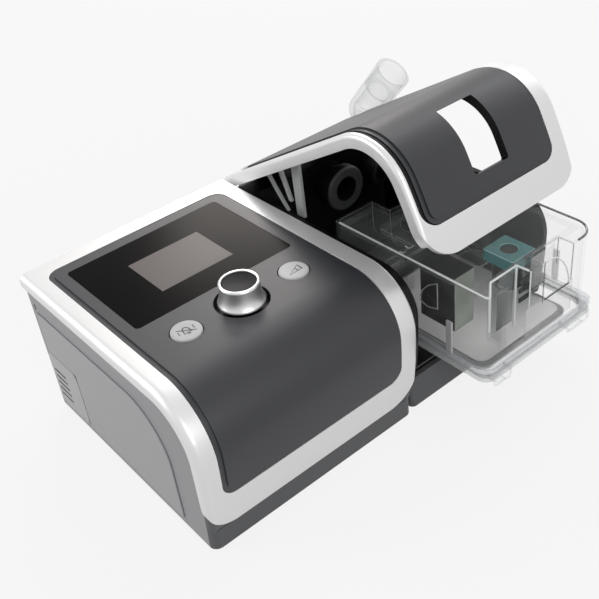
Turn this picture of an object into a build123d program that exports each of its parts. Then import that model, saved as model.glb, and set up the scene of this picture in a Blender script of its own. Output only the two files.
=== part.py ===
from build123d import *
import math
import os

# A table-top breathing machine with a heated humidifier docked on its right side.
# The model stands as the machine was seen: humidifier cover raised, water tub drawn forward.
# Millimetres. Everything is laid out from the machine's rear left corner on the table:
# x to the right, y towards the rear (so the front is negative), z up.
# The whole assembly is moved at the end so that its origin is under the middle of the bases.

# Driving dimensions of the two bodies
main_width = 170.0
total_width = 313.0
base_depth = 190.0
base_front = -191.4
height = 113.3
depth = 197.0
bend_radius = 39.5
bow_radius = 312.0
bend_z = height - bend_radius
bend_y = bend_radius - depth
ground = 1.5
wall = 2.5
overhang = 2.0

# Silver bezels and dark panels
bezel_wall = 4.0
bezel_return = 8.5
bezel_low = 17.0
bezel_corner = 22.0
panel_left = 12.6
panel_right = 156.0
panel_rear = -10.6
panel_low = 43.0
panel_corner = 10.0
panel_raise = 0.8
panel_step = 3.6
panel_under = 3.4
seam = 0.4

# Controls on the top
control_y = -133.3
dial_x = 85.0
button_pitch = 41.3
dial_hole = 17.7
dial_base_radius = 15.3
dial_top_radius = 12.9
dial_bottom = 113.6
dial_top = 128.6
cap_radius = 10.8
button_radius = 9.9
button_hole = 10.6
button_top = 115.0
glass_box = (23.7, 144.5, -109.7, -21.7)
screen_box = (56.6, 112.0, -88.0, -46.0)
glass_under = 112.5
surface = height + panel_raise

# Left side, filter and rear sockets
shell_left = 1.2
shell_right = main_width - 1.2
shell_inset = 8.8
side_plate_top = 88.5
side_plate_front = -161.5
side_plate_radius = 38.0
side_plate_low = 8.5
door_rear = -6.0
door_front = -46.3
door_low = 8.0
door_top = 54.5
door_hinge = (0.55, -45.8)
louvre_count = 5
louvre_pitch = 5.6
jack_x = 140.0
jack_z = 30.0
jack_bore = 2.75
tether_slot = (-9.2, -6.8, 89.5, 94.5)
card_x = 44.0
card_z = 62.0

# Blower inside the machine
blower_x = 70.0
blower_y = -88.0
blower_radius = 36.0
blower_low = 18.0
blower_high = 62.0
impeller_radius = 27.0
duct_y = -63.0
duct_z = 47.0
duct_radius = 7.0
duct_bore = 5.8
duct_rise_x = 146.0
cross_y = -11.9

# Humidifier dock
dock_left = 171.0
dock_front = -189.3
dock_right = total_width
deck_top = 30.0
flush_top = 21.1
side_inset = 9.6
left_house_right = 181.4
right_wall_left = 308.7
rear_front = -21.0
rear_top = 98.0
ridge_top = 103.2
rear_right = 288.5
heater_box = (208.0, 295.0, -148.0, -58.0)
port_x = 252.7
port_z = 83.7
port_seal_radius = 18.5
port_seal_bore = 10.0
port_seal_front = -42.0
return_x = 294.0
return_z = 78.0
return_radius = 9.5
return_front = -38.0
notch_depth = 18.3
return_depth = 14.3

# Cover of the humidifier, drawn closed and then swung up about its rear hinge
lid_left = 173.0
lid_right = 313.0
lid_low = 21.5
lid_return = 9.0
lid_wall = 3.5
lid_corner_left = 25.0
lid_corner_right = 19.0
lid_panel_left = 180.0
lid_panel_right = 297.8
lid_panel_low = 42.5
trim_left = 176.6
trim_right = 240.0
trim_corner = 13.4
lid_notch_x = 286.6
lid_notch_y = -36.0
liner_outer = 3.7
liner_inner = 6.0
window_left = 226.5
window_right = 257.5
window_low = 57.8
window_top = 102.3
window_corner = 11.0
arm_left = 186.5
arm_width = 2.6
hinge_y = 0.0
hinge_z = 104.0
hinge_open = 29.4
knuckle_radius = 4.2
pin_radius = 1.55
knuckles = ((202.0, 216.0), (262.0, 276.0))
lug_width = 5.1
hinge_gap = 0.4

# Water tub, drawn where it stands when it is pulled forward
tub_travel = 68.0
tub_left = 197.0
tub_right = 306.0
tub_rear = -92.0
tub_front = -232.0
tub_low = 32.6
tub_rim = 101.0
tub_wall = 2.0
tub_slope_y = -218.2
tub_slope_z = 78.0
flange_left = 194.4
flange_right = 308.1
flange_low = 34.0
flange_high = 43.5
chamber = (203.0, 222.0, -199.0, -168.0)
valve_x = 253.0
valve_y = -201.2
pocket_y = -219.7
pocket_one = (214.5, 236.5, 55.0)
pocket_two = (252.0, 280.0, 70.0)
tab_boxes = ((203.0, 221.0), (279.0, 304.0))
tab_low = 26.0
tab_rear = -226.0

# Swivelling outlet elbow
tower_x = 301.0
tower_y = -11.0
tower_top = 100.0
tower_bore = 9.7
elbow_bend = (303.3, -13.3, 124.6)
elbow_radius = 13.3
elbow_mouth_radius = 15.0
elbow_length = 42.8
elbow_turn = 11.2
elbow_lift = 20.1
mouth_bore = 13.0
mouth_depth = 22.0

nodes = {}


# Small helpers for placed blocks, rods and rings
def block(x0, x1, y0, y1, z0, z1):
    middle = Pos((x0 + x1) / 2, (y0 + y1) / 2, (z0 + z1) / 2)
    return middle * Box(x1 - x0, y1 - y0, z1 - z0)


def post(x, y, z0, z1, radius):
    return Pos(x, y, (z0 + z1) / 2) * Cylinder(radius, z1 - z0)


def peg_x(x0, x1, y, z, radius):
    return Pos((x0 + x1) / 2, y, z) * Rot(0, 90, 0) * Cylinder(radius, x1 - x0)


def peg_y(x, y0, y1, z, radius):
    return Pos(x, (y0 + y1) / 2, z) * Rot(90, 0, 0) * Cylinder(radius, y1 - y0)


def turned(points, x, y):
    # a body of revolution about the vertical line at x, y from (radius, height) points
    outline = make_face(Polyline(*points, close=True))
    return Pos(x, y, 0) * revolve(Plane.XZ * outline, Axis.Z)


# The common side outline of machine and cover: flat top, tight bend, gently bowed front
def front_y(z, inset=0.0):
    return inset - depth + max(0.0, bend_z - z) ** 2 / (2 * bow_radius)


def side_slab(x0, x1, inset, rear, bottom):
    top = height - inset
    radius = bend_radius - inset
    slant = radius * math.sqrt(0.5)
    middle = (bend_z + bottom) / 2
    outline = Line((rear, bottom), (rear, top))
    outline += Line((rear, top), (bend_y, top))
    outline += ThreePointArc((bend_y, top), (bend_y - slant, bend_z + slant), (bend_y - radius, bend_z))
    outline += ThreePointArc((bend_y - radius, bend_z), (front_y(middle, inset), middle),
                             (front_y(bottom, inset), bottom))
    outline += Line((front_y(bottom, inset), bottom), (rear, bottom))
    return Pos(x0, 0, 0) * extrude(Plane.YZ * make_face(outline), x1 - x0)


def flank_slab(x0, x1, inset, rear, bottom):
    # like side_slab, but its front runs almost upright below the bend
    top = height - inset
    radius = bend_radius - inset
    slant = radius * math.sqrt(0.5)
    front = bend_y - radius
    outline = Line((rear, bottom), (rear, top))
    outline += Line((rear, top), (bend_y, top))
    outline += ThreePointArc((bend_y, top), (bend_y - slant, bend_z + slant), (front, bend_z))
    outline += Polyline((front, bend_z), (front - 0.1, 35), (front + 2.3, bottom), (rear, bottom))
    return Pos(x0, 0, 0) * extrude(Plane.YZ * make_face(outline), x1 - x0)


def rounded_plan(x0, x1, y0, y1, z0, z1, radius):
    sheet = Pos((x0 + x1) / 2, (y0 + y1) / 2, z0) * RectangleRounded(x1 - x0, y1 - y0, radius)
    return extrude(sheet, z1 - z0)


def front_prism(x0, x1, z0, z1, left_radius, right_radius, y0, y1):
    # a prism along y whose two lower corners are rounded
    left_slant = left_radius * (1 - math.sqrt(0.5))
    right_slant = right_radius * (1 - math.sqrt(0.5))
    outline = Line((x0, z1), (x0, z0 + left_radius))
    outline += ThreePointArc((x0, z0 + left_radius), (x0 + left_slant, z0 + left_slant),
                             (x0 + left_radius, z0))
    outline += Line((x0 + left_radius, z0), (x1 - right_radius, z0))
    outline += ThreePointArc((x1 - right_radius, z0), (x1 - right_slant, z0 + right_slant),
                             (x1, z0 + right_radius))
    outline += Line((x1, z0 + right_radius), (x1, z1))
    outline += Line((x1, z1), (x0, z1))
    return Pos(0, y1, 0) * extrude(Plane.XZ * make_face(outline), y1 - y0)


def bent_opening(x0, x1, rear, low, radius, gap):
    # the room of a panel that runs over the top and down the front, smaller all round by gap
    x0, x1, rear, low = x0 + gap, x1 - gap, rear - gap, low + gap
    corner = max(radius - gap, 1.0)
    over = rounded_plan(x0, x1, bend_y - 60, rear, bend_z + 10, height + 10, corner)
    over &= block(x0 - 1, x1 + 1, bend_y, rear + 1, bend_z, height + 20)
    down = front_prism(x0, x1, low, bend_z, corner, corner, -depth - 10, bend_y)
    bend = block(x0, x1, -depth - 10, bend_y, bend_z, height + 10)
    return over + down + bend


def bezel(x0, x1, low, left_radius, right_radius, thick, deep, left_round, right_round, machine):
    # the silver shell round a panel: top, front and two narrow side faces
    body = side_slab(x0, x1, 0, overhang, low)
    body = fillet(body.faces().sort_by(Axis.X)[0].edges().filter_by(
        lambda edge: edge.center().Z > low + 1 and edge.center().Y < overhang - 0.1), left_round)
    body = fillet(body.faces().sort_by(Axis.X)[-1].edges().filter_by(
        lambda edge: edge.center().Z > low + 1 and edge.center().Y < overhang - 0.1), right_round)
    hollow = side_slab(x0 + thick, x1 - thick, thick, overhang - thick if machine else overhang + 1, -5)
    if machine:
        body -= flank_slab(x0 - 1, x1 + 1, deep, overhang + 1, -5)
    else:
        # the cover's side returns run on round the lower corners and fade out there
        hollow &= front_prism(x0 + thick, x1 - thick, low - 9, height + 5, left_radius, right_radius, -depth - 5, 10)
        body -= side_slab(x0 - 1, x1 + 1, deep, overhang + 1, -5)
    body -= hollow
    return body & front_prism(x0, x1, low, height + 5, left_radius, right_radius, -depth - 5, 10)


def bent_panel(x0, x1, rear, low):
    # a dark panel with a raised field inside a lower margin
    margin = side_slab(x0, x1, seam, rear, low) - side_slab(x0 - 1, x1 + 1, panel_under, rear + 1, low - 5)
    field = side_slab(x0, x1, -panel_raise, rear, low)
    field -= side_slab(x0 - 1, x1 + 1, panel_under - 1, rear + 1, low - 5)
    margin &= bent_opening(x0, x1, rear, low, panel_corner, seam)
    field &= bent_opening(x0, x1, rear, low, panel_corner, panel_step)
    return margin + field


# Machine: bezel, front panel and the controls in it
def frame_ring():
    ring = bezel(0, main_width, bezel_low, bezel_corner, bezel_corner, bezel_wall, bezel_return, 5.0, 2.0, True)
    return ring - bent_opening(panel_left, panel_right, panel_rear, panel_low, panel_corner, 0)


def front_panel():
    panel = bent_panel(panel_left, panel_right, panel_rear, panel_low)
    panel -= rounded_plan(*glass_box, glass_under, surface + 1, 3.0)
    x0, x1, y0, y1 = screen_box
    panel -= block(x0 - 4, x1 + 4, y0 - 4, y1 + 4, 100, surface)
    panel -= post(dial_x, control_y, 100, 120, dial_hole)
    for side in (-1, 1):
        panel -= post(dial_x + side * button_pitch, control_y, 100, 120, button_hole)
    return panel


def display_glass():
    x0, x1, y0, y1 = glass_box
    glass = rounded_plan(x0 + 0.2, x1 - 0.2, y0 + 0.2, y1 - 0.2, glass_under, surface, 2.8)
    return glass - block(*screen_box, surface - 0.5, surface + 1)


def display_screen():
    x0, x1, y0, y1 = screen_box
    return block(x0 + 0.05, x1 - 0.05, y0 + 0.05, y1 - 0.05, surface - 0.45, surface - 0.02)


def display_module():
    x0, x1, y0, y1 = screen_box
    module = block(x0 - 3.5, x1 + 3.5, y0 - 3.5, y1 + 3.5, 106.0, glass_under - 0.2)
    return module - block(x0 + 6, x1 - 6, y0 + 6, y1 - 6, 105, 107.2)


def dial_well():
    cup = post(dial_x, control_y, 106.4, 109.7, 19.4) - post(dial_x, control_y, 107.8, 120, 17.4)
    return cup - post(dial_x, control_y, 100, 120, 4.4)


def dial_skirt():
    flare = [(dial_base_radius, dial_bottom), (dial_base_radius, dial_bottom + 1.2)]
    steps = 8
    for step in range(1, steps + 1):
        part = step / steps
        spread = (dial_base_radius - dial_top_radius) * (1 - part) ** 3.0
        flare.append((dial_top_radius + spread, dial_bottom + 1.2 + part * 12.4))
    rim = [(dial_top_radius - 0.5, dial_top), (cap_radius + 0.2, dial_top), (cap_radius + 0.2, 125.0)]
    inside = [(3.05, 125.0), (3.05, 112.5), (6.0, 112.5), (6.0, 121.5), (10.0, 121.5), (13.4, dial_bottom)]
    return turned(flare + rim + inside, dial_x, control_y)


def dial_cap():
    cap = post(dial_x, control_y, 125.1, 127.6, cap_radius)
    dish = Pos(dial_x, control_y, 127.6 + 58.0) * Sphere(58.7)
    return cap - dish


def encoder_shaft():
    return post(dial_x, control_y, 103.9, 124.6, 3.0)


def rotary_encoder():
    case = block(dial_x - 6.5, dial_x + 6.5, control_y - 6.5, control_y + 6.5, 102.8, 105.4)
    case += post(dial_x, control_y, 105.4, 109.5, 4.2)
    return case - post(dial_x, control_y, 103.0, 112.0, 3.05)


def button(x):
    face = post(x, control_y, 109.2, button_top, button_radius)
    face = fillet(face.faces().sort_by(Axis.Z)[-1].edges(), 0.6)
    face += post(x, control_y, 107.9, 109.4, button_radius + 1.4)
    return face + post(x, control_y, 106.5, 108.0, 2.2)


def control_board():
    board = block(34, 136, -150, -112, 101.2, 102.7)
    for x in (38, 132):
        board -= post(x, -116, 100, 104, 1.7)
    return board


def button_switches():
    cells = [block(x - 3, x + 3, control_y - 3, control_y + 3, 102.8, 105.1)
             for x in (dial_x - button_pitch, dial_x + button_pitch)]
    return Compound(children=cells)


# Machine: shell, base and side pieces
def main_shell():
    shell = flank_slab(shell_left, shell_right, shell_inset, -2, ground + 0.2)
    shell -= block(shell_left + wall, shell_right - wall, -230, -2 - wall, -5, 130)
    shell -= block(-1, 5, door_front + 3, door_rear - 3, door_low + 3, door_top - 3)
    shell -= peg_x(160, 175, cross_y, port_z, duct_radius + 0.3)
    shell -= peg_y(jack_x, -10, 5, jack_z, 6.2)
    shell -= block(card_x - 13, card_x + 13, -10, 5, card_z - 1.8, card_z + 1.8)
    shell -= block(-1, 5, *tether_slot)
    for y in (-40, -140):
        shell -= block(160, 175, y - 6.2, y + 6.2, 59.8, 68.2)
    return shell


def base_tray():
    lower = block(shell_left, shell_right, base_front, -183.2, ground, bezel_low - 0.3)
    lower = fillet(lower.edges().filter_by(Axis.Z).filter_by(lambda edge: edge.center().Y < base_front + 1), 6.0)
    corners = side_slab(shell_left, shell_right, 0.7, -120, ground)
    corners = fillet(corners.edges().filter_by(
        lambda edge: edge.center().Y < base_front and edge.center().Z < bend_z
        and (edge.center().X < 5 or edge.center().X > 165) and edge.bounding_box().size.Z > 20), 4.0)
    corners &= block(0, 180, -210, -187.0, bezel_low - 0.3, 42)
    corners -= front_prism(0, main_width, bezel_low - 0.3, 60, bezel_corner, bezel_corner, -210, 0)
    corners -= block(shell_left + 20, shell_right - 20, -210, 0, 0, 60)
    for x in (0, 165.8):
        lower -= flank_slab(x, x + 4.2, shell_inset - 0.3, -100, -1)
        corners -= flank_slab(x, x + 4.2, shell_inset - 0.3, -100, -1)
    tray = block(4.2, 165.8, -183, -5, ground, 16)
    upright = side_slab(4.3, 165.7, 4.5, -150, ground) & block(0, 180, -210, -180, 0, 46)
    inner = side_slab(4.2 + wall, 165.8 - wall, 4.5 + wall, -5 - wall, ground + wall)
    body = lower + corners + tray + upright - inner
    for y in (-33, -152):
        for x in (22, 148):
            body -= post(x, y, 0, 10, 2.1) + post(x, y, 0, 3.3, 3.4)
    return body


def side_plate():
    radius = side_plate_radius
    slant = radius * math.sqrt(0.5)
    turn_y = side_plate_front + radius
    turn_z = side_plate_top - radius
    outline = Line((-9, side_plate_low), (-9, side_plate_top))
    outline += Line((-9, side_plate_top), (turn_y, side_plate_top))
    outline += ThreePointArc((turn_y, side_plate_top), (turn_y - slant, turn_z + slant),
                             (side_plate_front, turn_z))
    outline += Line((side_plate_front, turn_z), (side_plate_front, side_plate_low))
    outline += Line((side_plate_front, side_plate_low), (-9, side_plate_low))
    plate = Pos(0.1, 0, 0) * extrude(Plane.YZ * make_face(outline), 1.0)
    return plate - block(-1, 3, door_front - 1.1, 2, 0, door_top + 0.6)


def filter_door():
    plate = block(0.1, 1.0, door_hinge[1], door_rear, door_low, door_top)
    plate = fillet(plate.edges().filter_by(Axis.X), 6.0)
    plate += post(*door_hinge, door_low + 6.5, door_top - 6.5, 0.45)
    for row in range(louvre_count):
        z = 16.0 + row * louvre_pitch
        plate -= block(-1, 3, -26, -9.5, z, z + 2.4)
    return plate


def air_filter():
    return block(4.2, 10.0, door_front + 3.5, door_rear - 3.5, door_low + 9.0, door_top - 4.0)


# Machine: blower, boards and sockets
def blower_housing():
    shell = post(blower_x, blower_y, blower_low, blower_high - 3, blower_radius)
    shell += peg_x(blower_x + 4, blower_x + blower_radius + 6, duct_y, duct_z, duct_radius + 1.6)
    shell -= post(blower_x, blower_y, blower_low + wall, blower_high, blower_radius - wall)
    shell -= peg_x(blower_x + 4, blower_x + blower_radius + 8, duct_y, duct_z, duct_bore)
    return shell


def blower_cap():
    cap = post(blower_x, blower_y, blower_high - 2.9, blower_high, blower_radius)
    return cap - post(blower_x, blower_y, 50, 70, 13)


def blower_motor():
    motor = post(blower_x, blower_y, blower_low + wall + 0.2, 38, 16)
    return motor - post(blower_x, blower_y, 30, 40, 2.05)


def impeller():
    wheel = post(blower_x, blower_y, 41, 42.5, impeller_radius)
    wheel += post(blower_x, blower_y, 41, 48, 7)
    blades = 9
    for step in range(blades):
        blade = Pos(16.5, 0, 47.2) * Box(20, 1.4, 9.4)
        wheel += Pos(blower_x, blower_y, 0) * Rot(0, 0, step * 360 / blades) * blade
    return wheel + post(blower_x, blower_y, 31, 42, 2.0)


def blower_mounts():
    spots = [(blower_x + 24 * math.cos(a), blower_y + 24 * math.sin(a)) for a in (0.5, 2.6, 4.7)]
    return Compound(children=[post(x, y, ground + wall + 0.1, blower_low - 0.1, 5) for x, y in spots])


def pipe(points, bend):
    # a round air duct along straight runs with rounded corners
    path = FilletPolyline(*points, radius=bend)
    ring = Plane(origin=path @ 0, z_dir=path % 0) * (Circle(duct_radius) - Circle(duct_bore))
    return sweep(ring, path=path)


def outlet_duct():
    x0, x1 = blower_x + blower_radius + 6.2, dock_left + 0.1
    return pipe([(x0, duct_y, duct_z), (duct_rise_x, duct_y, duct_z), (duct_rise_x, cross_y, port_z),
                 (x1, cross_y, port_z)], 12)


def main_board():
    board = block(112, 158, -176, -96, 14.0, 15.6)
    board += block(120, 140, -160, -140, 15.5, 22) + block(124, 150, -128, -108, 15.5, 19)
    for y in (-170, -102):
        for x in (117, 153):
            board += post(x, y, ground + wall + 0.1, 14.1, 3)
    return board


def sound_foam():
    return block(10, 17, -145, -55, 8, 60)


def power_socket():
    case = block(jack_x - 6.5, jack_x + 6.5, -16, -4.7, jack_z - 6.5, jack_z + 6.5)
    case += peg_y(jack_x, -5, -0.8, jack_z, 6.0)
    return case - peg_y(jack_x, -9.8, 1, jack_z, jack_bore)


def card_reader():
    case = block(card_x - 15, card_x + 15, -38, -4.7, card_z - 2.6, card_z + 2.6)
    return case - block(card_x - 12.4, card_x + 12.4, -34, 0, card_z - 1.3, card_z + 1.3)


def memory_card():
    return block(card_x - 12, card_x + 12, -32, -0.6, card_z - 1.05, card_z + 1.05)


def feet(spots):
    return Compound(children=[post(x, y, 0, ground, 7) for x, y in spots])


def screws(spots, z0, z1):
    return Compound(children=[post(x, y, z0, z1, 1.9) + post(x, y, z0, z0 + 1.4, 3.2) for x, y in spots])


# Dock: base, deck and the walls of the bay
def dock_base():
    outline = Polyline((-2, ground), (-2, flush_top), (dock_front + 5.2, flush_top), (dock_front, ground + 2),
                       (dock_front, ground), close=True)
    body = Pos(dock_left, 0, 0) * extrude(Plane.YZ * make_face(outline), dock_right - dock_left)
    fronts = body.edges().filter_by(lambda edge: edge.center().Y < -180 and edge.bounding_box().size.Z > 1)
    body = fillet(fronts.filter_by(lambda edge: edge.center().X > dock_right - 1), 9.0)
    fronts = body.edges().filter_by(lambda edge: edge.center().Y < -180 and edge.bounding_box().size.Z > 1)
    body = fillet(fronts.filter_by(lambda edge: edge.center().X < dock_left + 1), 4.0)
    body -= block(dock_left + wall, dock_right - wall, -180, -4.5, ground + wall, 40)
    for y in (-33, -152):
        for x in (188, 296):
            body -= post(x, y, 0, 10, 2.1) + post(x, y, 0, 3.3, 3.4)
    return body


def dock_deck():
    deck = side_slab(dock_left + 0.3, dock_right - 0.3, side_inset, -2.3, flush_top + 0.2)
    deck &= block(160, 320, -210, 0, 0, deck_top)
    deck -= block(dock_left + 3, dock_right - 3, -184, -5, 0, deck_top - wall)
    x0, x1, y0, y1 = heater_box
    deck -= block(x0 - 0.3, x1 + 0.3, y0 - 0.3, y1 + 0.3, 20, 40)
    for x0, x1 in tab_boxes:
        deck -= block(x0 - 1.2, x1 + 1.2, -210, tab_rear + tub_travel + 2, 0, 40)
    return deck


def heater_plate():
    x0, x1, y0, y1 = heater_box
    return rounded_plan(x0, x1, y0, y1, deck_top - 3.4, deck_top + 0.1, 4)


def heater_board():
    board = block(186, 300, -120, -40, 10, 11.6)
    return board + block(230, 250, -90, -70, 11.5, 18)


def left_housing():
    body = side_slab(dock_left + 0.3, left_house_right, side_inset, -2, deck_top + 0.2)
    body -= side_slab(dock_left + 0.3 + wall, left_house_right - wall, side_inset + wall, -3.5, 20)
    body -= peg_x(160, 190, cross_y, port_z, duct_radius + 0.3)
    for y in (-40, -140):
        body -= block(160, 180, y - 6.2, y + 6.2, 59.8, 68.2)
    return body


def right_wall():
    return side_slab(right_wall_left, dock_right, side_inset, -24, deck_top + 0.2)


def rear_housing():
    body = block(left_house_right + 0.2, rear_right, rear_front, 0, deck_top + 0.2, rear_top)
    body += block(left_house_right + 0.2, rear_right, rear_front, -6, rear_top - 1, ridge_top)
    body += block(left_house_right + 0.2, knuckles[0][0] - 6, -6.5, 0, rear_top - 1, ridge_top)
    body -= block(left_house_right - 1, rear_right - 2, rear_front + 2, -2, 20, rear_top - 2)
    body -= peg_y(port_x, -30, -15, port_z, 7.6)
    for x0, x1 in knuckles:
        for a, b in ((x0 - hinge_gap - lug_width, x0 - hinge_gap), (x1 + hinge_gap, x1 + hinge_gap + lug_width)):
            body += block(a, b, -4, 4, rear_top - 4, hinge_z) - block(a, b, 0.01, 5, 0, rear_top - 0.01)
            body += peg_x(a, b, hinge_y, hinge_z, 4.0)
            body -= peg_x(a - 1, b + 1, hinge_y, hinge_z, pin_radius + 0.05)
    return body


def hinge_pins():
    reach = hinge_gap + lug_width
    return Compound(children=[peg_x(a - reach, b + reach, hinge_y, hinge_z, pin_radius) for a, b in knuckles])


def outlet_tower():
    body = block(rear_right + 0.2, dock_right, -23.3, 1, deck_top + 0.2, tower_top)
    body = fillet(body.edges().filter_by(Axis.Z).sort_by(Axis.X)[2:], 3.0)
    body -= post(tower_x, tower_y, 70, 110, tower_bore)
    return body - peg_y(return_x, -30, tower_y, return_z, 4)


def crossover_duct():
    return pipe([(dock_left + 0.4, cross_y, port_z), (port_x, cross_y, port_z), (port_x, -20.8, port_z)], 8.4)


def port_nozzle():
    tube = peg_y(port_x, -34.2, rear_front - 0.2, port_z, 12.0) + peg_y(port_x, -24, rear_front - 0.2, port_z, 16)
    return tube - peg_y(port_x, -40, -10, port_z, 8.3)


def port_seal():
    ring = peg_y(port_x, port_seal_front, -34.4, port_z, port_seal_radius)
    ring = fillet(ring.faces().sort_by(Axis.Y)[0].edges(), 2.5)
    ring += peg_y(port_x, -34.5, -25, port_z, 14.5) - peg_y(port_x, -36, -20, port_z, 12.1)
    return ring - peg_y(port_x, -50, -20, port_z, port_seal_bore) - peg_y(port_x, -34.3, -20, port_z, 12.1)


def return_seal():
    ring = peg_y(return_x, return_front, -23.5, return_z, return_radius)
    ring = fillet(ring.faces().sort_by(Axis.Y)[0].edges(), 1.5)
    return ring - peg_y(return_x, -50, -20, return_z, 5.5)


def docking_hooks():
    return Compound(children=[block(163.5, 176, y - 6, y + 6, 60, 68) for y in (-40, -140)])


# Cover of the humidifier, in its closed place
def lid_notch():
    return block(lid_notch_x, lid_right + 5, lid_notch_y, 20, 90, 130)


def lid_window(gap, corner):
    return front_prism(window_left - gap, window_right + gap, window_low - gap, window_top + gap,
                       corner + gap, 1.5, -depth - 10, -150)


def lid_frame():
    frame = bezel(lid_left, lid_right, lid_low, lid_corner_left, lid_corner_right, lid_wall, lid_return, 3.0, 5.0,
                  False)
    frame -= bent_opening(lid_panel_left, lid_panel_right, -12, lid_panel_low, panel_corner, 0)
    frame -= bent_opening(trim_left, trim_right, -12, lid_panel_low, trim_corner, 0)
    frame -= block(188, 280, -8, 5, 111.3, 120)
    return frame - lid_notch()


def lid_trim():
    # a dark strip along the panel's left edge that fades out round the panel's corner
    strip = side_slab(trim_left, 184, 1.2, -12.3, lid_panel_low) - side_slab(170, 190, 3.4, 0, 0)
    strip &= bent_opening(trim_left, trim_right, -12, lid_panel_low, trim_corner, 0.3)
    return strip - bent_opening(lid_panel_left, lid_panel_right, -5, lid_panel_low, panel_corner, 0)


def lid_rear_strip():
    return block(188.3, 279.7, -7.7, overhang - 0.2, 111.5, height)


def lid_panel():
    return bent_panel(lid_panel_left, lid_panel_right, -12, lid_panel_low) - lid_window(0, 3.5) - lid_notch()


def lid_liner():
    liner = side_slab(lid_left + 3.8, lid_right - 3.8, liner_outer, -6, lid_low + 3)
    liner -= side_slab(lid_left, lid_right, liner_inner, 0, 0)
    liner &= front_prism(lid_left + 3.8, lid_right - 3.8, lid_low + 3, 130, lid_corner_left, lid_corner_right, -210, 10)
    liner = liner - lid_window(0.4, window_corner) - lid_notch()
    for x0, x1 in knuckles:
        liner += peg_x(x0, x1, hinge_y, hinge_z, knuckle_radius)
        liner += block(x0, x1, -9, 0, hinge_z, height - liner_outer)
        liner -= peg_x(x0 - 1, x1 + 1, hinge_y, hinge_z, pin_radius + 0.05)
    return liner


def cover_arms():
    # three pale ribs under the raised cover that drop into the gap left of the tub
    def rib(y_top, width_top, y_low, width_low, z_low):
        slope = math.tan(math.radians(hinge_open))
        under = height - liner_inner - 0.1 - hinge_z
        reach = under / math.cos(math.radians(hinge_open))
        tops = [(y, hinge_z + reach - y * slope) for y in (y_top, y_top - width_top)]
        outline = Polyline(tops[0], tops[1], (y_low - width_low, z_low), (y_low, z_low), close=True)
        return Pos(arm_left, 0, 0) * extrude(Plane.YZ * make_face(outline), arm_width)
    return Compound(children=[rib(-28.5, 2.2, -50.5, 2.2, 98.0), rib(-44.5, 3.2, -55.0, 3.0, 108.0),
                              rib(-61.5, 9.0, -63.0, 8.0, 99.5)])


# Water tub and its cover
def tub_outline(inset, low, high):
    plan = Pos((tub_left + tub_right) / 2, (tub_rear + tub_front) / 2, low) * Rectangle(
        tub_right - tub_left - 2 * inset, tub_rear - tub_front - 2 * inset)
    body = extrude(plan, high - low)
    uprights = body.edges().filter_by(Axis.Z)
    front_left = uprights.filter_by(lambda e: e.center().Y < -200 and e.center().X < 250)
    front_right = uprights.filter_by(lambda e: e.center().Y < -200 and e.center().X > 250)
    body = fillet(front_left, 10 - inset)
    front_right = body.edges().filter_by(Axis.Z).filter_by(lambda e: e.center().Y < -200 and e.center().X > 290)
    body = fillet(front_right, 16 - inset)
    rise = tub_rim - tub_slope_z
    run = tub_slope_y - tub_front
    slope = math.hypot(rise, run)
    shift = inset * slope / rise
    wedge = Polyline((tub_slope_y + shift, tub_rim), (tub_slope_y + shift - 2 * run, tub_rim - 2 * rise),
                     (tub_front - 40, tub_rim - 2 * rise), (tub_front - 40, tub_rim + 40),
                     (tub_slope_y + shift + run, tub_rim + rise), close=True)
    body -= Pos(tub_left - 5, 0, 0) * extrude(Plane.YZ * make_face(wedge), 120)
    for x0, x1, z in (pocket_one, pocket_two):
        body -= block(x0 - inset, x1 + inset, tub_front - 5, pocket_y + inset, z - inset, tub_rim + 5)
    return body


def port_notches(grow):
    # the room that the two seals of the dock take up when the tub is home
    half = port_seal_radius + 0.8 + grow
    deep = tub_rear - notch_depth - grow
    cut = peg_y(port_x, deep, tub_rear + 5, port_z, half)
    cut += block(port_x - half, port_x + half, deep, tub_rear + 5, port_z, 110)
    return cut + peg_y(return_x, tub_rear - return_depth - grow, tub_rear + 5, return_z, return_radius + 0.7 + grow)


def tub_body():
    outer = tub_outline(0, tub_low, tub_rim)
    inner = tub_outline(tub_wall, tub_low + tub_wall, tub_rim + 10) - port_notches(tub_wall)
    body = outer - inner - port_notches(0)
    body -= peg_y(port_x, tub_rear - notch_depth - 5, tub_rear, port_z, port_seal_bore - 0.5)
    body -= peg_y(return_x, tub_rear - return_depth - 5, tub_rear, return_z, 5)
    flange = rounded_plan(flange_left, flange_right, tub_front - 2.5, tub_rear, flange_low, flange_high, 9)
    body += flange - tub_outline(1, flange_low - 1, flange_high + 1)
    body -= rounded_plan(209, 294, -218, -109, tub_low - 5, tub_low + 5, 8)
    for x0, x1 in tab_boxes:
        tab = block(x0, x1, tub_front - 1.5, tab_rear, tab_low, flange_low + 1)
        body += fillet(tab.edges().filter_by(Axis.Y).sort_by(Axis.Z)[:2], 5) - tub_outline(0.5, tub_low, tub_rim)
    return body


def tub_base_plate():
    plate = rounded_plan(206, 297, -221, -106, deck_top + 0.5, tub_low - 0.1, 8)
    return plate + rounded_plan(209.3, 293.7, -217.7, -109.3, deck_top + 0.5, tub_low + 1.5, 7.7)


def tub_gasket():
    ring = tub_outline(tub_wall + 0.2, 95.4, 97.4) - tub_outline(tub_wall + 3.4, 94, 99)
    return ring - port_notches(tub_wall + 0.2)


def tub_cover():
    plate = tub_outline(tub_wall + 0.3, 97.6, 99.4)
    plate -= port_notches(tub_wall + 0.3)
    plate += rounded_plan(208, 244, -168, -124, 99.3, 103.5, 4)
    plate -= rounded_plan(210, 242, -166, -126, 90, 101.8, 2.5)
    plate += rounded_plan(262, 296, -168, -130, 99.3, 103.5, 4)
    return plate - rounded_plan(264, 294, -166, -132, 90, 101.8, 2.5)


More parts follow.
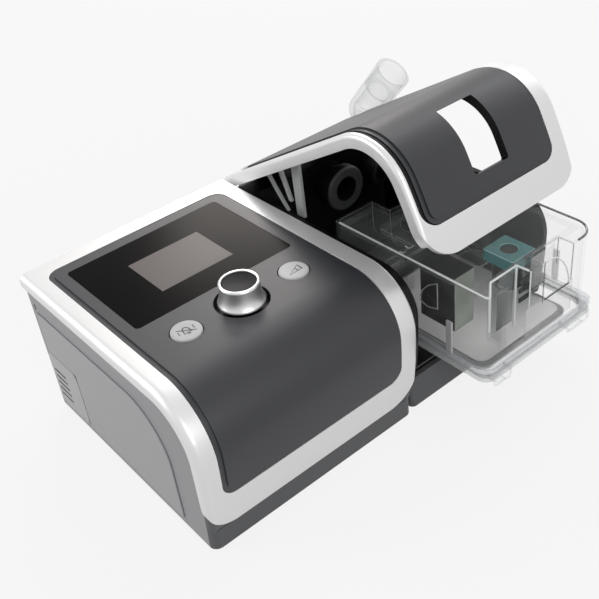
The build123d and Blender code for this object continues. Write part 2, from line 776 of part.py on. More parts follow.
def tub_baffles():
    # an air chamber by the left wall, two guide posts and a round air tube
    x0, x1, y0, y1 = chamber
    box = block(x0, x1, y0, y1, 55, 97.4) - block(x0 + 1.6, x1 - 1.6, y0 + 1.6, y1 - 1.6, 50, 95.8)
    parts = [box, block(203.5, 206.5, -153, -149, 62, 97.4), block(210, 214, -152, -147.5, 62, 97.4)]
    parts.append(post(279, -149, 52, 97.4, 12.0) - post(279, -149, 50, 99, 10.4))
    return Compound(children=parts)


def tub_valve():
    # the square valve head and its round float cage
    head = block(valve_x - 11.5, valve_x + 11.5, valve_y - 12.8, valve_y + 12.8, 88.5, 97.4)
    cage = post(valve_x, valve_y, 70, 88.6, 10.5)
    return head + cage - post(valve_x, valve_y, 74, 99, 6.0)


def tub_clips():
    clips = [block(x0, x1, y - 2.5, y + 2.5, flange_high + 0.3, 69)
             for x0, x1 in ((tub_left - 1.9, tub_left - 0.1), (tub_right + 0.1, tub_right + 1.9))
             for y in (-200.5, -120.0)]
    return Compound(children=clips)


# Outlet elbow that turns in the tower
def outlet_elbow():
    lift = math.radians(elbow_lift)
    turn = math.radians(elbow_turn)
    way = Vector(math.cos(lift) * math.cos(turn), math.cos(lift) * math.sin(turn), math.sin(lift))
    bend = Vector(*elbow_bend)
    foot = Vector(tower_x, tower_y, 106.0)

    def leg(start, stop, radius0, radius1):
        run = stop - start
        return Plane(origin=(start + stop) * 0.5, z_dir=run) * Cone(radius0, radius1, run.length)
    body = post(tower_x, tower_y, 80, 110, 9.6) + post(tower_x, tower_y, tower_top + 0.3, 103, 12.4)
    body += leg(foot, bend, 9.9, 12.4) + Pos(bend) * Sphere(elbow_radius)
    body += leg(bend, bend + way * elbow_length, elbow_radius, elbow_mouth_radius)
    body -= post(tower_x, tower_y, 70, 110, 7.8) + leg(foot, bend, 8.6, 9.6)
    body -= Pos(bend) * Sphere(9.8)
    cup = elbow_length - mouth_depth
    body -= leg(bend, bend + way * (cup + 0.1), 9.6, 9.7)
    place = Plane(origin=bend + way * (cup + mouth_depth / 2 + 1), z_dir=way)
    return body - place * Cylinder(mouth_bore, mouth_depth + 2)


nodes["frame_ring"] = frame_ring()
nodes["front_panel"] = front_panel()
nodes["display_glass"] = display_glass()
nodes["display_screen"] = display_screen()
nodes["display_module"] = display_module()
nodes["dial_well"] = dial_well()
nodes["dial_skirt"] = dial_skirt()
nodes["dial_cap"] = dial_cap()
nodes["encoder_shaft"] = encoder_shaft()
nodes["rotary_encoder"] = rotary_encoder()
nodes["mute_button"] = button(dial_x - button_pitch)
nodes["ramp_button"] = button(dial_x + button_pitch)
nodes["control_board"] = control_board()
nodes["button_switches"] = button_switches()
nodes["main_shell"] = main_shell()
nodes["base_tray"] = base_tray()
nodes["side_plate"] = side_plate()
nodes["filter_door"] = filter_door()
nodes["air_filter"] = air_filter()
nodes["blower_housing"] = blower_housing()
nodes["blower_cap"] = blower_cap()
nodes["blower_motor"] = blower_motor()
nodes["impeller"] = impeller()
nodes["blower_mounts"] = blower_mounts()
nodes["outlet_duct"] = outlet_duct()
nodes["main_board"] = main_board()
nodes["sound_foam"] = sound_foam()
nodes["power_socket"] = power_socket()
nodes["card_reader"] = card_reader()
nodes["memory_card"] = memory_card()
foot_spots = [(x, y) for x in (18, 152, 184, 298) for y in (-18, -170)]
nodes["rubber_feet"] = feet(foot_spots + [(total_width / 2, -base_depth / 2)])
nodes["case_screws"] = screws([(x, y) for x in (22, 148, 188, 296) for y in (-33, -152)], ground + 0.1, 9)
nodes["dock_base"] = dock_base()
nodes["dock_deck"] = dock_deck()
nodes["heater_plate"] = heater_plate()
nodes["heater_board"] = heater_board()
nodes["left_housing"] = left_housing()
nodes["right_wall"] = right_wall()
nodes["rear_housing"] = rear_housing()
nodes["hinge_pins"] = hinge_pins()
nodes["outlet_tower"] = outlet_tower()
nodes["crossover_duct"] = crossover_duct()
nodes["port_nozzle"] = port_nozzle()
nodes["port_seal"] = port_seal()
nodes["return_seal"] = return_seal()
nodes["docking_hooks"] = docking_hooks()

swing = Pos(0, hinge_y, hinge_z) * Rot(-hinge_open, 0, 0) * Pos(0, -hinge_y, -hinge_z)
nodes["lid_frame"] = swing * lid_frame()
nodes["lid_trim"] = swing * lid_trim()
nodes["lid_rear_strip"] = swing * lid_rear_strip()
nodes["lid_panel"] = swing * lid_panel()
nodes["lid_liner"] = swing * lid_liner()
nodes["cover_arms"] = cover_arms()

nodes["tub_body"] = tub_body()
nodes["tub_base_plate"] = tub_base_plate()
nodes["tub_gasket"] = tub_gasket()
nodes["tub_cover"] = tub_cover()
nodes["tub_baffles"] = tub_baffles()
nodes["tub_valve"] = tub_valve()
nodes["tub_clips"] = tub_clips()
nodes["outlet_elbow"] = outlet_elbow()

origin_shift = Pos(-total_width / 2, base_depth / 2, 0)
os.makedirs("parts", exist_ok=True)
for name, solid in nodes.items():
    export_step(origin_shift * solid, os.path.join("parts", name + ".step"))
    print(name)
print(len(nodes), "nodes")
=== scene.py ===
import math

import bmesh
import bpy
from mathutils import Matrix, Vector


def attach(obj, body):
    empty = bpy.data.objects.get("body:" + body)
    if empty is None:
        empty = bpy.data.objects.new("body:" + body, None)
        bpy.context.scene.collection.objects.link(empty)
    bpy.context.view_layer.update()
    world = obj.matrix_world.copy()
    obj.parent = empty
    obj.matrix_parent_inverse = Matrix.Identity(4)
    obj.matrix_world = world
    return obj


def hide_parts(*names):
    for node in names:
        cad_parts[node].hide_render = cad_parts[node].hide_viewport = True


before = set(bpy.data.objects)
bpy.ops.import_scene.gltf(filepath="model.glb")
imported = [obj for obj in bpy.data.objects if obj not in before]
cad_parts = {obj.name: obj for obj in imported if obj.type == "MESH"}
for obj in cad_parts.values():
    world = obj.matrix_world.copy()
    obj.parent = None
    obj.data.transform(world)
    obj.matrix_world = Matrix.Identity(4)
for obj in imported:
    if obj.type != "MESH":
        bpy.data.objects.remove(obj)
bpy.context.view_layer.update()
print("frame loaded:", len(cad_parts), "parts")

# millimetres from the machine's rear left corner on the table, as the parts are laid out
originShift = Vector((-156.5, 95.0, 0.0))
mm = 0.001


def at(x, y, z):
    # a point of the layout in the scene's metres
    return (Vector((x, y, z)) + originShift) * mm


# shader and geometry nodes: one wrapper for sockets, one maker for nodes
class Wire:
    def __init__(self, tree, socket):
        self.tree = tree
        self.socket = socket

    def maths(self, operation, *values):
        return addNode(self.tree, "ShaderNodeMath", {"operation": operation}, dict(enumerate(values)))

    def __add__(self, other):
        return self.maths("ADD", self, other)

    def __radd__(self, other):
        return self.maths("ADD", other, self)

    def __sub__(self, other):
        return self.maths("SUBTRACT", self, other)

    def __rsub__(self, other):
        return self.maths("SUBTRACT", other, self)

    def __mul__(self, other):
        return self.maths("MULTIPLY", self, other)

    def __rmul__(self, other):
        return self.maths("MULTIPLY", other, self)

    def __pow__(self, other):
        return self.maths("POWER", self, other)

    def __gt__(self, other):
        return self.maths("GREATER_THAN", self, other)

    def out(self, name):
        return Wire(self.tree, self.socket.node.outputs[name])


def plug(tree, socket, value):
    # a socket takes a wire, a list of wires or a plain value
    wires = value if isinstance(value, list) else [value]
    if isinstance(wires[0], Wire):
        for wire in wires:
            tree.links.new(wire.socket, socket)
    else:
        socket.default_value = value


def addNode(tree, kind, settings=None, inputs=None, output=0):
    node = tree.nodes.new(kind)
    for key, value in (settings or {}).items():
        setattr(node, key, value)
    for key, value in (inputs or {}).items():
        plug(tree, node.inputs[key], value)
    return Wire(tree, node.outputs[output])


def newMaterial(name):
    material = bpy.data.materials.new(name)
    material.use_nodes = True
    tree = material.node_tree
    return material, tree, tree.nodes["Principled BSDF"]


def setShader(tree, shader, **values):
    for key, value in values.items():
        plug(tree, shader.inputs[key.replace("_", " ")], value)


def objectPlace(tree):
    return addNode(tree, "ShaderNodeTexCoord", output="Object")


def noise(tree, place, scale, detail=2.0, roughness=0.5):
    values = {"Vector": place, "Scale": scale, "Detail": detail, "Roughness": roughness}
    return addNode(tree, "ShaderNodeTexNoise", {}, values, "Fac")


def mixColour(tree, factor, first, second):
    # sockets 0, 6, 7 and output 2 are the colour form's factor, A, B and result
    return addNode(tree, "ShaderNodeMix", {"data_type": "RGBA"}, {0: factor, 6: first, 7: second}, 2)


def bump(tree, height, strength, distance):
    values = {"Height": height, "Strength": strength, "Distance": distance}
    return addNode(tree, "ShaderNodeBump", {}, values, "Normal")


def shade(colour, factor):
    return tuple(min(1.0, part * factor) for part in colour[:3]) + (1.0,)


# finishes; a swing is how far the roughness wanders over the surface
plasticSet = {"grainDetail": 3.0, "grainRoughness": 0.6, "cloudScale": 14.0, "swing": 0.1, "bump": 0.35}
silverSet = {"flakeScale": 5200.0, "flakeDetail": 1.0, "cloudScale": 11.0, "spread": 0.05, "swing": 0.08,
             "bump": 0.12, "flakeDepth": 0.00003}
clearSet = {"rimBlend": 0.3, "rippleScale": 26.0, "smearScale": 60.0, "smearDetail": 3.0, "swing": 0.04,
            "dark": 0.94, "light": 1.05, "ior": 1.5, "bump": 0.1, "rippleDepth": 0.0004}


def mouldedPlastic(name, colour, roughness, grainScale, grainDepth, wear=0.05, specular=0.5):
    s = plasticSet
    material, tree, shader = newMaterial(name)
    place = objectPlace(tree)
    grain = noise(tree, place, grainScale, s["grainDetail"], s["grainRoughness"])
    cloud = noise(tree, place, s["cloudScale"])
    base = mixColour(tree, cloud, shade(colour, 1 - wear), shade(colour, 1 + wear))
    setShader(tree, shader, Base_Color=base, Roughness=cloud * s["swing"] + (roughness - s["swing"] / 2),
              Specular_IOR_Level=specular, Normal=bump(tree, grain, s["bump"], grainDepth))
    return material


def silverPaint(name, brightness, roughness, metallic):
    # metal flake in the paint, and faint rubbing marks
    s = silverSet
    material, tree, shader = newMaterial(name)
    place = objectPlace(tree)
    flake = noise(tree, place, s["flakeScale"], s["flakeDetail"])
    cloud = noise(tree, place, s["cloudScale"])
    dark, light = brightness * (1 - s["spread"]), min(1.0, brightness * (1 + s["spread"]))
    base = mixColour(tree, flake, (dark, dark, dark, 1), (light, light, light, 1))
    setShader(tree, shader, Base_Color=base, Metallic=metallic,
              Roughness=cloud * s["swing"] + (roughness - s["swing"] / 2),
              Normal=bump(tree, flake, s["bump"], s["flakeDepth"]))
    return material


def clearPlastic(name, colour, faceAlpha, rimAlpha, roughness=0.05, haze=0.0):
    # see-through from the front, denser where the surface turns away; haze is uneven
    s = clearSet
    material, tree, shader = newMaterial(name)
    rim = addNode(tree, "ShaderNodeLayerWeight", {}, {"Blend": s["rimBlend"]}, "Facing")
    place = objectPlace(tree)
    ripple = noise(tree, place, s["rippleScale"])
    smear = noise(tree, place, s["smearScale"], s["smearDetail"])
    base = mixColour(tree, smear, shade(colour, s["dark"]), shade(colour, s["light"]))
    setShader(tree, shader, Base_Color=base, Roughness=smear * s["swing"] + roughness, IOR=s["ior"],
              Alpha=rim * (rimAlpha - faceAlpha) + (faceAlpha - haze * 0.5) + smear * haze,
              Normal=bump(tree, ripple, s["bump"], s["rippleDepth"]))
    return material


materials = {
    "silver": silverPaint("silverPaint", 0.78, 0.38, 0.45),
    # a brighter silver for rounded edges: a painted highlight
    "silverEdgeHighlight": silverPaint("silverEdgeHighlight", 0.92, 0.24, 0.85),
    "dialSilver": silverPaint("dialSilver", 0.66, 0.32, 0.95),
    "panel": mouldedPlastic("charcoalPanel", (0.026, 0.027, 0.032), 0.42, 2600.0, 0.00003, 0.04, 0.5),
    "glass": mouldedPlastic("blackGlass", (0.003, 0.0025, 0.0025), 0.22, 90.0, 0.000004, 0.1, 0.028),
    "screen": mouldedPlastic("greyScreen", (0.155, 0.140, 0.136), 0.3, 500.0, 0.00001, 0.05, 0.1),
    "side": mouldedPlastic("sideGrey", (0.40, 0.40, 0.41), 0.5, 2400.0, 0.00005, 0.04, 0.3),
    "shell": mouldedPlastic("shellGrey", (0.33, 0.33, 0.34), 0.5, 2400.0, 0.00005, 0.04, 0.3),
    "door": mouldedPlastic("doorGrey", (0.46, 0.46, 0.47), 0.5, 2400.0, 0.00005, 0.04, 0.3),
    # near black for the door's slots: painted shade
    "slotShade": mouldedPlastic("seamShadow", (0.045, 0.045, 0.047), 0.6, 1500.0, 0.00003),
    "base": mouldedPlastic("baseCharcoal", (0.096, 0.098, 0.102), 0.5, 2400.0, 0.00005, 0.05, 0.35),
    "deck": mouldedPlastic("deckBlack", (0.007, 0.007, 0.008), 0.35, 1800.0, 0.00004, 0.05, 0.18),
    "rubber": mouldedPlastic("sealRubber", (0.075, 0.078, 0.080), 0.45, 900.0, 0.00006, 0.05, 0.5),
    "blackRubberAndShade": mouldedPlastic("blackRubberAndShade", (0.012, 0.012, 0.013), 0.5, 900.0, 0.00006, 0.05, 0.3),
    "button": mouldedPlastic("silverButton", (0.50, 0.50, 0.51), 0.35, 2200.0, 0.00002, 0.02, 0.3),
    "icon": mouldedPlastic("darkPrint", (0.030, 0.030, 0.033), 0.5, 1800.0, 0.00001),
    "arm": mouldedPlastic("paleArm", (0.46, 0.47, 0.47), 0.4, 1500.0, 0.00004),
    "cap": mouldedPlastic("dialCapBlack", (0.016, 0.016, 0.018), 0.4, 1900.0, 0.00003, 0.05, 0.08),
    "inner": mouldedPlastic("innerPlastic", (0.09, 0.09, 0.10), 0.5, 1400.0, 0.00004),
    "board": mouldedPlastic("boardGreen", (0.03, 0.13, 0.07), 0.45, 400.0, 0.00003, 0.15),
    "foam": mouldedPlastic("openFoam", (0.62, 0.62, 0.60), 0.9, 700.0, 0.0004, 0.1),
    "metal": silverPaint("turnedMetal", 0.55, 0.38, 1.0),
    "plateMetal": silverPaint("plateMetal", 0.22, 0.3, 1.0),
    "tubPlate": silverPaint("tubPlate", 0.66, 0.4, 0.3),
    "clear": clearPlastic("clearTub", (0.74, 0.77, 0.77), 0.010, 0.10, 0.05),
    # pale, nearly solid edges for the clear pieces: painted highlights
    "clearEdgeHighlight": clearPlastic("clearEdgeHighlight", (0.93, 0.95, 0.95), 0.70, 0.92, 0.12),
    "clearMist": clearPlastic("clearMist", (0.99, 0.99, 0.99), 0.20, 0.30, 0.40, 0.10),
    "clearCover": clearPlastic("clearCover", (0.66, 0.69, 0.69), 0.014, 0.12, 0.06, 0.01),
    "clearFlange": clearPlastic("clearFlange", (0.80, 0.83, 0.87), 0.20, 0.50, 0.10, 0.08),
    "clearLip": clearPlastic("clearLip", (0.88, 0.89, 0.89), 0.30, 0.60, 0.12, 0.10),
    "clearSeal": clearPlastic("clearSeal", (0.72, 0.74, 0.74), 0.03, 0.12, 0.15),
    # a dark see-through finish for painted shade
    "clearShadeDark": clearPlastic("clearShadeDark", (0.016, 0.018, 0.014), 0.80, 0.85, 0.10, 0.06),
    # a lighter one for faces painted as lit
    "clearLitFace": clearPlastic("clearLitFace", (0.42, 0.46, 0.40), 0.60, 0.70, 0.10, 0.12),
    # a grey see-through sheet finish for painted shade
    "paneShade": clearPlastic("paneShade", (0.22, 0.24, 0.24), 0.30, 0.40, 0.10, 0.10),
    "edgeShade": clearPlastic("edgeShade", (0.22, 0.24, 0.24), 0.55, 0.75, 0.15),
    "clearTeal": clearPlastic("clearTeal", (0.045, 0.24, 0.24), 0.66, 0.85, 0.08, 0.06),
    # a paler teal for the valve's rounded edges: a painted highlight
    "tealEdgeHighlight": clearPlastic("tealEdgeHighlight", (0.36, 0.60, 0.59), 0.7, 0.85, 0.12),
    "elbowClear": clearPlastic("elbowClear", (0.44, 0.46, 0.47), 0.05, 0.42, 0.05, 0.02),
    # dark edges for the clear elbow: painted shade
    "elbowEdgeShade": clearPlastic("elbowEdgeShade", (0.10, 0.11, 0.11), 0.70, 0.9, 0.15),
    "rimShade": clearPlastic("rimShade", (0.08, 0.09, 0.09), 0.80, 0.95, 0.2),
}
print("finishes made")


# mesh helpers, all in layout millimetres until a piece is finished
copySet = {"mergeGap": 0.000002, "flatAngle": 0.4}  # metres, degrees


def fromBmesh(name, work):
    for vertex in work.verts:
        vertex.co = at(*vertex.co)
    mesh = bpy.data.meshes.new(name)
    work.to_mesh(mesh)
    work.free()
    piece = bpy.data.objects.new(name, mesh)
    bpy.context.collection.objects.link(piece)
    return piece


def crease(mesh, angle=32.0):
    # smooth shading that breaks at edges sharper than the angle
    work = bmesh.new()
    work.from_mesh(mesh)
    limit = math.radians(angle)
    for face in work.faces:
        face.smooth = True
    for edge in work.edges:
        edge.smooth = len(edge.link_faces) == 2 and edge.calc_face_angle(0.0) < limit
    work.to_mesh(mesh)
    work.free()


def finishPiece(piece, body, finish, edgeFinish=None, rounding=0.0, steps=2, angle=32.0, stands=()):
    # stands names the CAD nodes that the piece takes the place of
    piece.data.materials.clear()
    piece.data.materials.append(materials[finish])
    crease(piece.data, angle)
    if edgeFinish:
        piece.data.materials.append(materials[edgeFinish])
    if rounding > 0:
        bevel = piece.modifiers.new("roundedEdges", "BEVEL")
        bevel.width = rounding * mm
        bevel.segments = steps
        bevel.limit_method = "ANGLE"
        bevel.angle_limit = math.radians(angle)
        bevel.harden_normals = not edgeFinish
        bevel.use_clamp_overlap = True
        if edgeFinish:
            bevel.material = 1
    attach(piece, body)
    if stands:
        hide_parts(*stands)
    return piece


def paintFaces(piece, finish, wanted):
    # a second finish on the faces that are wanted
    piece.data.materials.append(materials[finish])
    for face in piece.data.polygons:
        face.material_index = 1 if wanted(face) else 0


def crispCopy(node, name):
    # a CAD node's own surface as one merged mesh with clean flat faces
    work = bmesh.new()
    work.from_mesh(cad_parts[node].data)
    bmesh.ops.remove_doubles(work, verts=work.verts, dist=copySet["mergeGap"])
    bmesh.ops.dissolve_limit(work, angle_limit=math.radians(copySet["flatAngle"]),
                           verts=work.verts, edges=work.edges)
    bmesh.ops.recalc_face_normals(work, faces=work.faces)
    mesh = bpy.data.meshes.new(name)
    work.to_mesh(mesh)
    work.free()
    piece = bpy.data.objects.new(name, mesh)
    bpy.context.collection.objects.link(piece)
    return piece


def slab(name, first, second):
    # a closed body between two matching loops of points
    work = bmesh.new()
    lower = [work.verts.new(point) for point in first]
    upper = [work.verts.new(point) for point in second]
    work.faces.new(list(reversed(lower)))
    work.faces.new(upper)
    for step in range(len(lower)):
        following = (step + 1) % len(lower)
        work.faces.new((lower[step], lower[following], upper[following], upper[step]))
    bmesh.ops.recalc_face_normals(work, faces=work.faces)
    return fromBmesh(name, work)


def prism(name, outline, low, high):
    # an outline of (x, y) points made thick upwards
    return slab(name, [(x, y, low) for x, y in outline], [(x, y, high) for x, y in outline])


def prismY(name, outline, y0, y1):
    # an outline of (x, z) points made thick along y
    return slab(name, [(x, y0, z) for x, z in outline], [(x, y1, z) for x, z in outline])


def drumY(name, x, y0, y1, z, radius, sides=40):
    # a round bar along y
    turns = [2 * math.pi * k / sides for k in range(sides)]
    outline = [(x + radius * math.cos(turn), z + radius * math.sin(turn)) for turn in turns]
    return prismY(name, outline, y0, y1)


def roundedPlan(x0, x1, y0, y1, radii, steps=6):
    # radii for the corners rear left, front left, front right, rear right, seen from above
    corners = ((x0, y1, 1, -1, 90), (x0, y0, 1, 1, 180), (x1, y0, -1, 1, 270), (x1, y1, -1, -1, 0))
    outline = []
    for (x, y, towardsX, towardsY, start), radius in zip(corners, radii):
        centre = (x + towardsX * radius, y + towardsY * radius)
        count = steps if radius > 0.2 else 0
        for step in range(count + 1):
            angle = math.radians(start + 90 * (step / count if count else 0.5))
            outline.append((centre[0] + radius * math.cos(angle), centre[1] + radius * math.sin(angle))
                           if count else (x, y))
    return outline


def lathe(name, profile, x, y, spokes=64):
    # profile points are (radius, height); a radius of 0 closes the pole
    work = bmesh.new()
    rings = []
    for radius, height in profile:
        if radius < 0.001:
            rings.append([work.verts.new((x, y, height))])
        else:
            rings.append([work.verts.new((x + radius * math.cos(2 * math.pi * k / spokes),
                                          y + radius * math.sin(2 * math.pi * k / spokes), height))
                          for k in range(spokes)])
    for first, second in zip(rings, rings[1:]):
        for k in range(spokes):
            after = (k + 1) % spokes
            corners = [first[k % len(first)], first[after % len(first)],
                       second[after % len(second)], second[k % len(second)]]
            work.faces.new(list(dict.fromkeys(corners)))
    bmesh.ops.recalc_face_normals(work, faces=work.faces)
    return fromBmesh(name, work)


def box(name, x0, x1, y0, y1, z0, z1, radius=0.0):
    return prism(name, roundedPlan(x0, x1, y0, y1, (radius,) * 4), z0, z1)


def settle(piece):
    # modifiers applied through the evaluated mesh
    evaluated = piece.evaluated_get(bpy.context.evaluated_depsgraph_get())
    mesh = bpy.data.meshes.new_from_object(evaluated)
    piece.modifiers.clear()
    piece.data = mesh
    return piece


def carve(piece, tools):
    # takes each tool out of the piece
    for tool in tools:
        step = piece.modifiers.new("carve", "BOOLEAN")
        step.operation = "DIFFERENCE"
        step.solver = "EXACT"
        step.object = tool
    settle(piece)
    for tool in tools:
        bpy.data.objects.remove(tool)
    return piece


def joinPieces(name, pieces):
    work = bmesh.new()
    for piece in pieces:
        work.from_mesh(piece.data)
        bpy.data.objects.remove(piece)
    mesh = bpy.data.meshes.new(name)
    work.to_mesh(mesh)
    work.free()
    joined = bpy.data.objects.new(name, mesh)
    bpy.context.collection.objects.link(joined)
    return joined


def wireTube(name, points, radius):
    # a thin round strand through layout points
    curve = bpy.data.curves.new(name, "CURVE")
    curve.dimensions = "3D"
    curve.bevel_depth = radius * mm
    curve.bevel_resolution = 2
    curve.use_fill_caps = True
    line = curve.splines.new("POLY")
    line.points.add(len(points) - 1)
    for spot, point in zip(line.points, points):
        spot.co = (*at(*point), 1)
    holder = bpy.data.objects.new(name, curve)
    bpy.context.collection.objects.link(holder)
    mesh = bpy.data.meshes.new_from_object(holder.evaluated_get(bpy.context.evaluated_depsgraph_get()))
    bpy.data.objects.remove(holder)
    piece = bpy.data.objects.new(name, mesh)
    bpy.context.collection.objects.link(piece)
    return piece


def grow(name, tree, values, points=None):
    # runs a geometry node tree on a holder mesh and keeps the plain result
    mesh = bpy.data.meshes.new(name)
    if points:
        mesh.from_pydata([at(*point) for point in points], [], [])
    piece = bpy.data.objects.new(name, mesh)
    bpy.context.collection.objects.link(piece)
    step = piece.modifiers.new("grow", "NODES")
    step.node_group = tree
    for item in tree.interface.items_tree:
        if item.name in values:
            step[item.identifier] = values[item.name]
    return settle(piece)


def newTree(name, inputs):
    tree = bpy.data.node_groups.new(name, "GeometryNodeTree")
    tree.interface.new_socket("Geometry", in_out="INPUT", socket_type="NodeSocketGeometry")
    for label, kind, default in inputs:
        socket = tree.interface.new_socket(label, in_out="INPUT", socket_type="NodeSocket" + kind)
        socket.default_value = default
    tree.interface.new_socket("Geometry", in_out="OUTPUT", socket_type="NodeSocketGeometry")
    return tree, addNode(tree, "NodeGroupInput")


def endTree(tree, geometry, finish):
    real = addNode(tree, "GeometryNodeRealizeInstances", {}, {"Geometry": geometry})
    dressed = addNode(tree, "GeometryNodeSetMaterial", {}, {"Geometry": real, "Material": materials[finish]})
    tree.links.new(dressed.socket, tree.nodes.new("NodeGroupOutput").inputs[0])
    return tree


def vector(tree, x, y, z):
    return addNode(tree, "ShaderNodeCombineXYZ", {}, {0: x, 1: y, 2: z})


def lift(tree, geometry, height):
    shift = vector(tree, 0.0, 0.0, height)
    return addNode(tree, "GeometryNodeTransform", {}, {"Geometry": geometry, "Translation": shift})


# bodies that keep their CAD shape: node, body, finish, rounding in mm and slot; silver gets a painted
# highlight on its rounded edges
shellSet = {
    "bezelFrame": ("frame_ring", "machine", "silver", 0.6, "silver_plastic"),
    "topPanel": ("front_panel", "machine", "panel", 0.45, "dark_plastic"),
    "displayWindow": ("display_glass", "machine", "glass", 0.15, "black_glass"),
    "displayFace": ("display_screen", "machine", "screen", 0.0, "screen"),
    "dialCup": ("dial_well", "machine", "deck", 0.2, "deck_dark"),
    "sideShell": ("main_shell", "machine", "shell", 0.4, "shell_grey"),
    "sidePlate": ("side_plate", "machine", "side", 0.35, "shell_grey"),
    "baseTray": ("base_tray", "machine", "base", 0.6, "base_grey"),
    "dockBase": ("dock_base", "machine", "base", 0.6, "base_grey"),
    "dockDeck": ("dock_deck", "machine", "deck", 0.5, "deck_dark"),
    "leftHousing": ("left_housing", "machine", "deck", 0.6, "shell_grey"),
    "rightWall": ("right_wall", "machine", "deck", 0.5, "shell_grey"),
    "rearHousing": ("rear_housing", "machine", "deck", 0.5, "deck_dark"),
    "outletTower": ("outlet_tower", "machine", "deck", 0.5, "shell_grey"),
    "coverBezel": ("lid_frame", "humidifier_cover", "silver", 0.7, "silver_plastic"),
    "coverPanel": ("lid_panel", "humidifier_cover", "panel", 0.45, "dark_plastic"),
    "coverTrim": ("lid_trim", "humidifier_cover", "deck", 0.2, "dark_plastic"),
    "coverRearStrip": ("lid_rear_strip", "humidifier_cover", "panel", 0.3, "silver_plastic"),
    "coverLiner": ("lid_liner", "humidifier_cover", "deck", 0.3, "deck_dark"),
    "coverArms": ("cover_arms", "humidifier_cover", "arm", 0.3, "rib_pale"),
}
windowSpan = (226.0, 258.0)  # x range of the black walls of the cover panel's window


def makeShells():
    for name, (node, body, finish, rounding, slotName) in shellSet.items():
        piece = crispCopy(node, name)
        # silver's rounded edges take the painted highlight
        edgeFinish = "silverEdgeHighlight" if finish == "silver" else None
        finishPiece(piece, body, finish, edgeFinish, rounding, 2, 30.0, (node,))
        if name == "coverPanel":
            low, high = (at(x, 0, 0).x for x in windowSpan)
            spots = [vertex.co.x for vertex in piece.data.vertices]
            paintFaces(piece, "deck", lambda face: all(low < spots[v] < high for v in face.vertices))


makeShells()
print("shells dressed")

# the dial: a flared silver skirt grown by rule, a bright lip and a dished dark cap
dialSet = {"x": 85.0, "y": -133.3, "bottom": 113.6, "shoulder": 126.6, "baseRadius": 15.3, "topRadius": 12.9,
           "flare": 3.0, "spokes": 96, "hem": 1.2, "hemRound": 0.4, "hemWide": 2.0, "inside": (1.5, 9.0),
           "lipTop": 128.6, "lipOutside": ((0.1, 0.9), (-0.3, 0.25), (-0.8, 0.0)),
           "lipInside": ((0.5, 0.1), (0.15, 0.5)), "seat": 125.0, "hub": 4.0,
           "capRadius": 10.8, "capLow": 125.1, "capEdge": 127.6, "capRound": (0.35, 0.3),
           "dish": ((8.0, 0.45), (5.0, 0.75), (2.5, 0.95), (0, 1.0))}


def dialTree():
    tree, entry = newTree("flaredSkirt", (
        ("Base radius", "Float", 0.0153), ("Top radius", "Float", 0.0129),
        ("Bottom", "Float", 0.1148), ("Top", "Float", 0.1266), ("Flare", "Float", 3.0),
        ("Centre", "Vector", (0, 0, 0)), ("Spokes", "Int", 97)))
    # a unit grid is rolled up: x turns round the axis, y climbs
    grid = addNode(tree, "GeometryNodeMeshGrid", {}, {
        "Size X": 1.0, "Size Y": 1.0, "Vertices Y": 14, "Vertices X": entry.out("Spokes")})
    place = addNode(tree, "ShaderNodeSeparateXYZ", {}, {0: addNode(tree, "GeometryNodeInputPosition")})
    angle = (place + 0.5) * (2 * math.pi)
    rise = place.out("Y") + 0.5
    spread = entry.out("Base radius") - entry.out("Top radius")
    radius = entry.out("Top radius") + spread * ((1 - rise) ** entry.out("Flare"))
    height = entry.out("Bottom") + (entry.out("Top") - entry.out("Bottom")) * rise
    ring = vector(tree, radius * angle.maths("COSINE", angle), radius * angle.maths("SINE", angle), height)
    moved = addNode(tree, "ShaderNodeVectorMath", {"operation": "ADD"}, {0: ring, 1: entry.out("Centre")})
    shaped = addNode(tree, "GeometryNodeSetPosition", {}, {"Geometry": grid, "Position": moved})
    closed = addNode(tree, "GeometryNodeMergeByDistance", {}, {"Geometry": shaped, "Distance": 0.00001})
    return endTree(tree, closed, "dialSilver")


def makeDial():
    s = dialSet
    base, top, bottom, hem = s["baseRadius"], s["topRadius"], s["bottom"], s["bottom"] + s["hem"]
    skirt = grow("dialSkirtShell", dialTree(), {
        "Base radius": base * mm, "Top radius": top * mm, "Bottom": hem * mm, "Top": s["shoulder"] * mm,
        "Flare": s["flare"], "Centre": at(s["x"], s["y"], 0), "Spokes": s["spokes"] + 1})
    hemProfile = [(base, hem), (base, bottom + s["hemRound"]), (base - s["hemRound"], bottom),
                  (base - s["hemWide"], bottom), (top - s["inside"][0], bottom + s["inside"][1])]
    lipProfile = [(top, s["shoulder"])]
    lipProfile += [(top + out, s["lipTop"] - down) for out, down in s["lipOutside"]]
    lipProfile += [(s["capRadius"] + out, s["lipTop"] - down) for out, down in s["lipInside"]]
    lipProfile += [(s["capRadius"] + s["lipInside"][-1][0], s["seat"]), (s["hub"], s["seat"])]
    skirt = joinPieces("dialSkirt", [skirt, lathe("dialHem", hemProfile, s["x"], s["y"], s["spokes"]),
                                     lathe("dialLip", lipProfile, s["x"], s["y"], s["spokes"])])
    work = bmesh.new()
    work.from_mesh(skirt.data)
    bmesh.ops.remove_doubles(work, verts=work.verts, dist=0.00001)
    bmesh.ops.recalc_face_normals(work, faces=work.faces)
    work.to_mesh(skirt.data)
    work.free()
    finishPiece(skirt, "dial", "dialSilver", angle=40.0, stands=("dial_skirt",))
    inward, down = s["capRound"]
    capProfile = [(0, s["capLow"]), (s["capRadius"], s["capLow"]), (s["capRadius"], s["capEdge"] - down),
                  (s["capRadius"] - inward, s["capEdge"])]
    capProfile += [(radius, s["capEdge"] - dip) for radius, dip in s["dish"]]
    cap = lathe("dialCap", capProfile, s["x"], s["y"], s["spokes"])
    finishPiece(cap, "dial", "cap", angle=40.0, stands=("dial_cap",))


